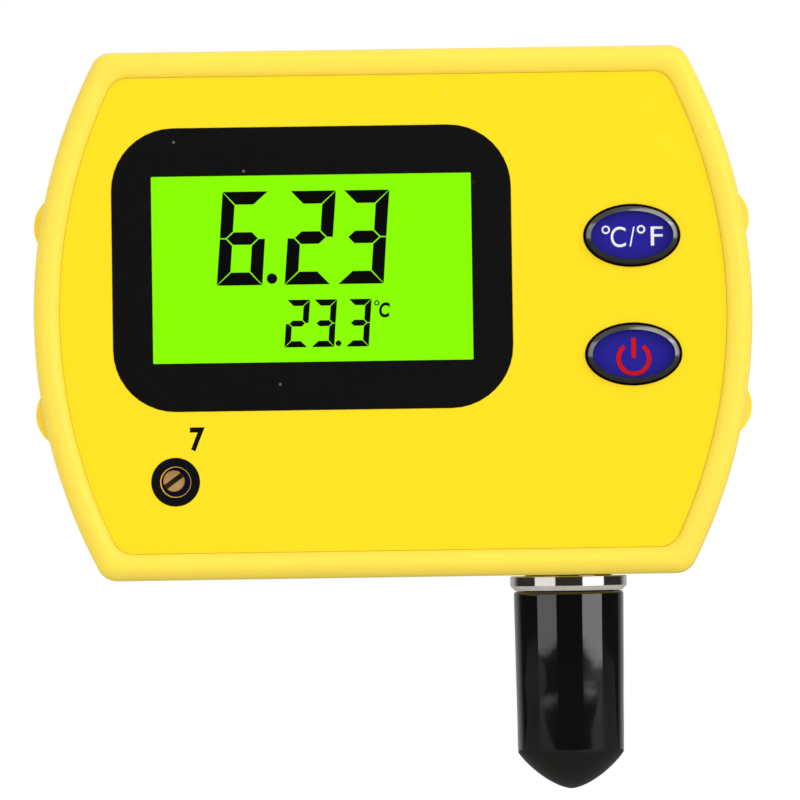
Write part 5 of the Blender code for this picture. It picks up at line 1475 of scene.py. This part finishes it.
class PH_METER_OT_jack(Operator):
    """Model the probe jack: ring nut, threaded body with bayonet lugs, insulator and contact"""

    bl_idname = "ph_meter.jack"
    bl_label = "Jack"

    def execute(self, context):
        self.make_nut(context.scene.ph_meter_jack.nut_chamfer)
        self.make_body()
        sleeve = lathe(SLEEVE_PROFILE, ring=True, steps=SMALL_STEPS)
        add_on_jack("jack_sleeve", sleeve, "bnc_insulator")
        add_on_jack("jack_pin", lathe(PIN_PROFILE, steps=SMALL_STEPS), "bnc_centre_contact")
        return {"FINISHED"}

    def make_nut(self, chamfer):
        """A round nut whose lower edge slopes and is dull."""
        radius = (NUT_HIGH.x - NUT_LOW.x) / 2
        profile = [(JACK_HOLE_RADIUS, NUT_HIGH.z), (radius - NUT_EDGE, NUT_HIGH.z)]
        profile += [(radius, NUT_HIGH.z - NUT_EDGE), (radius, NUT_LOW.z + chamfer)]
        profile += [(radius - chamfer, NUT_LOW.z), (JACK_HOLE_RADIUS, NUT_LOW.z)]
        nut = lathe(profile, ring=True)
        steep, shallow = NUT_SLOPE
        for face in nut.faces:
            face.material_index = 1 if steep < face.normal.z < shallow else 0
        add_on_jack("round_nut", nut, "bnc_ring_nut", "nickel_edge")

    def make_body(self):
        """The flanged and threaded body, with a bayonet lug at each side of its barrel."""
        profile = list(JACK_TAIL)
        height = FLANGE_LOW_Z
        while height - THREAD_PITCH > COLLAR_END_Z + THREAD_RUNOUT:
            profile += [(COLLAR_RADIUS, height - THREAD_PITCH * share) for share in THREAD_CREST]
            height -= THREAD_PITCH
            profile.append((COLLAR_RADIUS - THREAD_DEPTH, height))
        body = lathe([*profile, *JACK_BARREL], ring=True)
        lugs = bmesh.new()
        reach, y, z = LUG_PLACE
        for side in (-1, 1):
            turn = Matrix.Rotation(side * math.pi / 2, 4, "Y")
            rod(lugs, LUG_RADIUS, LUG_LENGTH, Matrix.Translation((side * reach, y, z)) @ turn)
        soften(lugs, LUG_EDGE, 2)
        add_on_jack("threaded_jack", carve(body, [lugs]), "bnc_jack")


class PH_METER_OT_dust_cap(Operator):
    """Model the dipped vinyl cap with its blunt nose and uneven skin"""

    bl_idname = "ph_meter.dust_cap"
    bl_label = "Dust cap"

    def execute(self, context):
        jack = context.scene.ph_meter_jack
        radius = (CAP_HIGH.x - CAP_LOW.x) / 2
        top = NUT_LOW.z - CAP_SEAT
        lip_z = top - CAP_LIP
        shoulder = CAP_LOW.z + jack.cap_nose
        inside = self.nose(JACK_HOLE_RADIUS, shoulder, CAP_LOW.z + CAP_END_WALL)
        profile = [*reversed(inside), (JACK_HOLE_RADIUS, top)]
        for cosine, sine in reversed(quarter(LIP_STEPS)):
            profile.append((radius - CAP_LIP + CAP_LIP * cosine, lip_z + CAP_LIP * sine))
        for step in range(1, WALL_STEPS):
            along = step / WALL_STEPS
            profile.append((radius - jack.cap_taper * along, lip_z + (shoulder - lip_z) * along))
        cap = lathe(profile + self.nose(radius - jack.cap_taper, shoulder, CAP_LOW.z))
        skin = [vertex for vertex in cap.verts if self.is_outside(vertex)]
        bmesh.ops.recalc_face_normals(cap, faces=cap.faces)
        for vertex in skin:
            depth = (lip_z - vertex.co.z) / WAVE_START
            if depth > 0.0:
                wave = noise.noise(vertex.co * WAVE_SCALE + WAVE_PLACE) - 0.5
                vertex.co += vertex.normal * wave * jack.cap_wave * min(1.0, depth) ** 2
        add_on_jack("vinyl_cap", cap, "dust_cap")
        return {"FINISHED"}

    def is_outside(self, vertex):
        """Whether a vertex lies on the cap's outer skin."""
        return vertex.normal.dot(Vector((vertex.co.x, vertex.co.y, -SKIN_DROP))) > 0

    def nose(self, radius, top, bottom):
        """Half profile of the blunt cone, from its shoulder to its tip."""
        points = []
        for step in range(NOSE_STEPS + 1):
            share = step / NOSE_STEPS
            along = share**2 * (3 - 2 * share)
            shrink = (1 - along**NOSE_SHOULDER) ** NOSE_ROUND
            points.append((radius * shrink, top + (bottom - top) * along))
        return points


class PH_METER_OT_cells(Operator):
    """Model the two battery cells and their springs"""

    bl_idname = "ph_meter.cells"
    bl_label = "Battery cells"

    def execute(self, context):
        for word, way in (("upper", 1), ("lower", -1)):
            self.make_cell(word, way)
            self.make_spring(word, way)
        return {"FINISHED"}

    def lying(self, node, word, way):
        """Lays a turned piece along X from one end of a node, on the axis of the cell."""
        low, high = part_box(node)
        cell_low, cell_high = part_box(f"battery_cell_{word}")
        middle = (cell_low + cell_high) / 2
        place = Matrix.Translation((low.x if way > 0 else high.x, middle.y, middle.z))
        return place @ Matrix.Rotation(way * math.pi / 2, 4, "Y")

    def make_cell(self, word, way):
        node = f"battery_cell_{word}"
        low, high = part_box(node)
        span = high.x - low.x
        radius = (high.z - low.z) / 2
        profile = [(reach, span + height) for reach, height in CELL_BUTTON]
        profile += [(radius - inset, span + height) for inset, height in CELL_CRIMP]
        profile += [(radius - inset, height) for inset, height in CELL_BASE]
        cell = lathe([*profile, (0.0, CELL_BASE[-1][1])])
        for face in cell.faces:
            reach = max(math.hypot(vertex.co.x, vertex.co.y) for vertex in face.verts)
            face.material_index = 1 if reach < radius - CELL_JACKET_TURN else 0
        move(cell, self.lying(node, word, way))
        add_piece(f"aaa_cell_{word}", cell, node, second="screw_steel")

    def make_spring(self, word, way):
        node = f"battery_spring_{word}"
        low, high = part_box(node)
        reach = high.x - low.x - 2 * SPRING_WIRE
        wide, narrow = SPRING_RADII
        count = int(SPRING_TURNS * SPRING_STEPS)
        curve = bpy.data.curves.new("coil", "CURVE")
        curve.dimensions = "3D"
        curve.bevel_depth = SPRING_WIRE
        curve.bevel_resolution = 3
        curve.use_fill_caps = True
        spline = curve.splines.new("POLY")
        spline.points.add(count)
        for step, point in enumerate(spline.points):
            along = step / count
            angle = math.tau * SPRING_TURNS * along
            radius = wide + (narrow - wide) * along
            height = SPRING_WIRE + reach * along
            point.co = (radius * math.cos(angle), radius * math.sin(angle), height, 1.0)
        coil = evaluated(curve)
        move(coil, self.lying(node, word, way))
        add_piece(f"cell_coil_{word}", coil, node)


class PH_METER_OT_stage(Operator):
    """Set up the camera, the floor, the softboxes and the white room"""

    bl_idname = "ph_meter.stage"
    bl_label = "Stage"

    def execute(self, context):
        scene = context.scene
        stage = scene.ph_meter_stage
        scene.view_settings.view_transform = "Standard"
        self.make_camera(scene, stage)
        self.make_floor(scene)
        for name, sizes in SOFTBOXES.items():
            self.make_softbox(scene, f"{name}_softbox", getattr(stage, f"{name}_radiance"), *sizes)
        self.make_room(scene, stage)
        return {"FINISHED"}

    def make_camera(self, scene, stage):
        lens = bpy.data.cameras.new("photo_camera")
        lens.lens = stage.focal_length
        lens.sensor_width = SENSOR_WIDTH
        lens.clip_start = CLIP_START
        camera = bpy.data.objects.new("photo_camera", lens)
        yaw, pitch, roll = (math.radians(angle) for angle in CAMERA_TURN)
        turn = Matrix.Rotation(yaw, 4, "Z") @ Matrix.Rotation(pitch, 4, "X") @ Matrix.Rotation(roll, 4, "Y")
        camera.matrix_world = Matrix.Translation(CAMERA_PLACE) @ turn @ Matrix.Rotation(math.pi / 2, 4, "X")
        scene.collection.objects.link(camera)
        scene.camera = camera

    def make_floor(self, scene):
        near, far = FLOOR_REACH
        size = Matrix.Diagonal((FLOOR_WIDTH, far - near, 1.0, 1.0))
        place = Matrix.Translation((0.0, (near + far) / 2, FLOOR_Z))
        mesh = bmesh.new()
        bmesh.ops.create_grid(mesh, x_segments=1, y_segments=1, size=0.5, matrix=place @ size)
        data = bpy.data.meshes.new("floor")
        mesh.to_mesh(data)
        mesh.free()
        data.materials.append(finish("pale_floor"))
        floor = bpy.data.objects.new("floor", data)
        scene.collection.objects.link(floor)

    def make_softbox(self, scene, name, radiance, azimuth, distance, width, low, high, lights=True):
        """An upright panel of light that faces the object."""
        lamp = bpy.data.lights.new(name, "AREA")
        lamp.shape = "RECTANGLE"
        lamp.size = width
        lamp.size_y = high - low
        lamp.energy = radiance * math.pi * width * (high - low)
        box = bpy.data.objects.new(name, lamp)
        angle = math.radians(azimuth)
        place = Vector((math.sin(angle) * distance, -math.cos(angle) * distance, (low + high) / 2))
        turn = Matrix.Rotation(angle, 4, "Z") @ Matrix.Rotation(math.pi / 2, 4, "X")
        box.matrix_world = Matrix.Translation(place) @ turn
        box.visible_camera = False
        box.visible_diffuse = lights
        scene.collection.objects.link(box)

    def make_room(self, scene, stage):
        """White behind the object and for the camera, dim on the camera's side."""
        world = bpy.data.worlds.new("white_room")
        scene.world = world
        world.use_nodes = True
        graph = Graph(world.node_tree)
        direction = graph.node("ShaderNodeTexCoord", output="Generated")
        ahead = graph.axis(direction, "Y")
        above = graph.axis(direction, "Z")
        seen = graph.ray("Is Camera Ray")
        glossy = graph.ray("Is Glossy Ray")
        shiny = glossy.math("MAXIMUM", glossy, graph.ray("Is Transmission Ray"))
        facing = (0 - ahead).between(*ROOM_FACING)
        room = stage.fill + (1 - stage.fill) * ahead.between(*ROOM_BEHIND) + stage.front * facing
        mirrored = ROOM_MIRROR + (BACKDROP_MIRROR - ROOM_MIRROR) * ahead.between(*BACKDROP)
        mirrored = mirrored + CEILING_MIRROR * above.between(*CEILING)
        strength = seen + (1 - seen) * (shiny * mirrored + (1 - shiny) * room)
        sockets = {"Color": (1.0, 1.0, 1.0, 1.0), "Strength": strength}
        graph.node("ShaderNodeOutputWorld", {"Surface": graph.node("ShaderNodeBackground", sockets)})


class PH_METER_PT_panel(Panel):
    """Sizes, colours and pieces of the pH meter"""

    bl_idname = "PH_METER_PT_panel"
    bl_label = "pH Meter"
    bl_space_type = "VIEW_3D"
    bl_region_type = "UI"
    bl_category = "pH Meter"

    def draw(self, context):
        for group in SETTINGS:
            settings = getattr(context.scene, group)
            for name in settings.__annotations__:
                self.layout.prop(settings, name)
        for piece in PIECES:
            self.layout.operator(piece.bl_idname)


SETTINGS = {
    "ph_meter_case": CaseSettings,
    "ph_meter_display": DisplaySettings,
    "ph_meter_buttons": ButtonSettings,
    "ph_meter_jack": JackSettings,
    "ph_meter_stage": StageSettings,
}
PIECES = (
    PH_METER_OT_inner_parts,
    PH_METER_OT_front_shell,
    PH_METER_OT_rear_shell,
    PH_METER_OT_battery_door,
    PH_METER_OT_case_screws,
    PH_METER_OT_face,
    PH_METER_OT_display,
    PH_METER_OT_buttons,
    PH_METER_OT_trimmer,
    PH_METER_OT_jack,
    PH_METER_OT_dust_cap,
    PH_METER_OT_cells,
    PH_METER_OT_stage,
)


def register():
    for made in (*SETTINGS.values(), *PIECES, PH_METER_PT_panel):
        bpy.utils.register_class(made)
    for name, group in SETTINGS.items():
        setattr(bpy.types.Scene, name, PointerProperty(type=group))


def unregister():
    for name in SETTINGS:
        delattr(bpy.types.Scene, name)
    for made in (PH_METER_PT_panel, *reversed(PIECES), *SETTINGS.values()):
        bpy.utils.unregister_class(made)


def main():
    register()
    bpy.ops.ph_meter.inner_parts()
    bpy.ops.ph_meter.front_shell()
    bpy.ops.ph_meter.rear_shell()
    bpy.ops.ph_meter.battery_door()
    bpy.ops.ph_meter.case_screws()
    bpy.ops.ph_meter.face()
    bpy.ops.ph_meter.display()
    bpy.ops.ph_meter.buttons()
    bpy.ops.ph_meter.trimmer()
    bpy.ops.ph_meter.jack()
    bpy.ops.ph_meter.dust_cap()
    bpy.ops.ph_meter.cells()
    bpy.ops.ph_meter.stage()


if __name__ == "__main__":
    main()
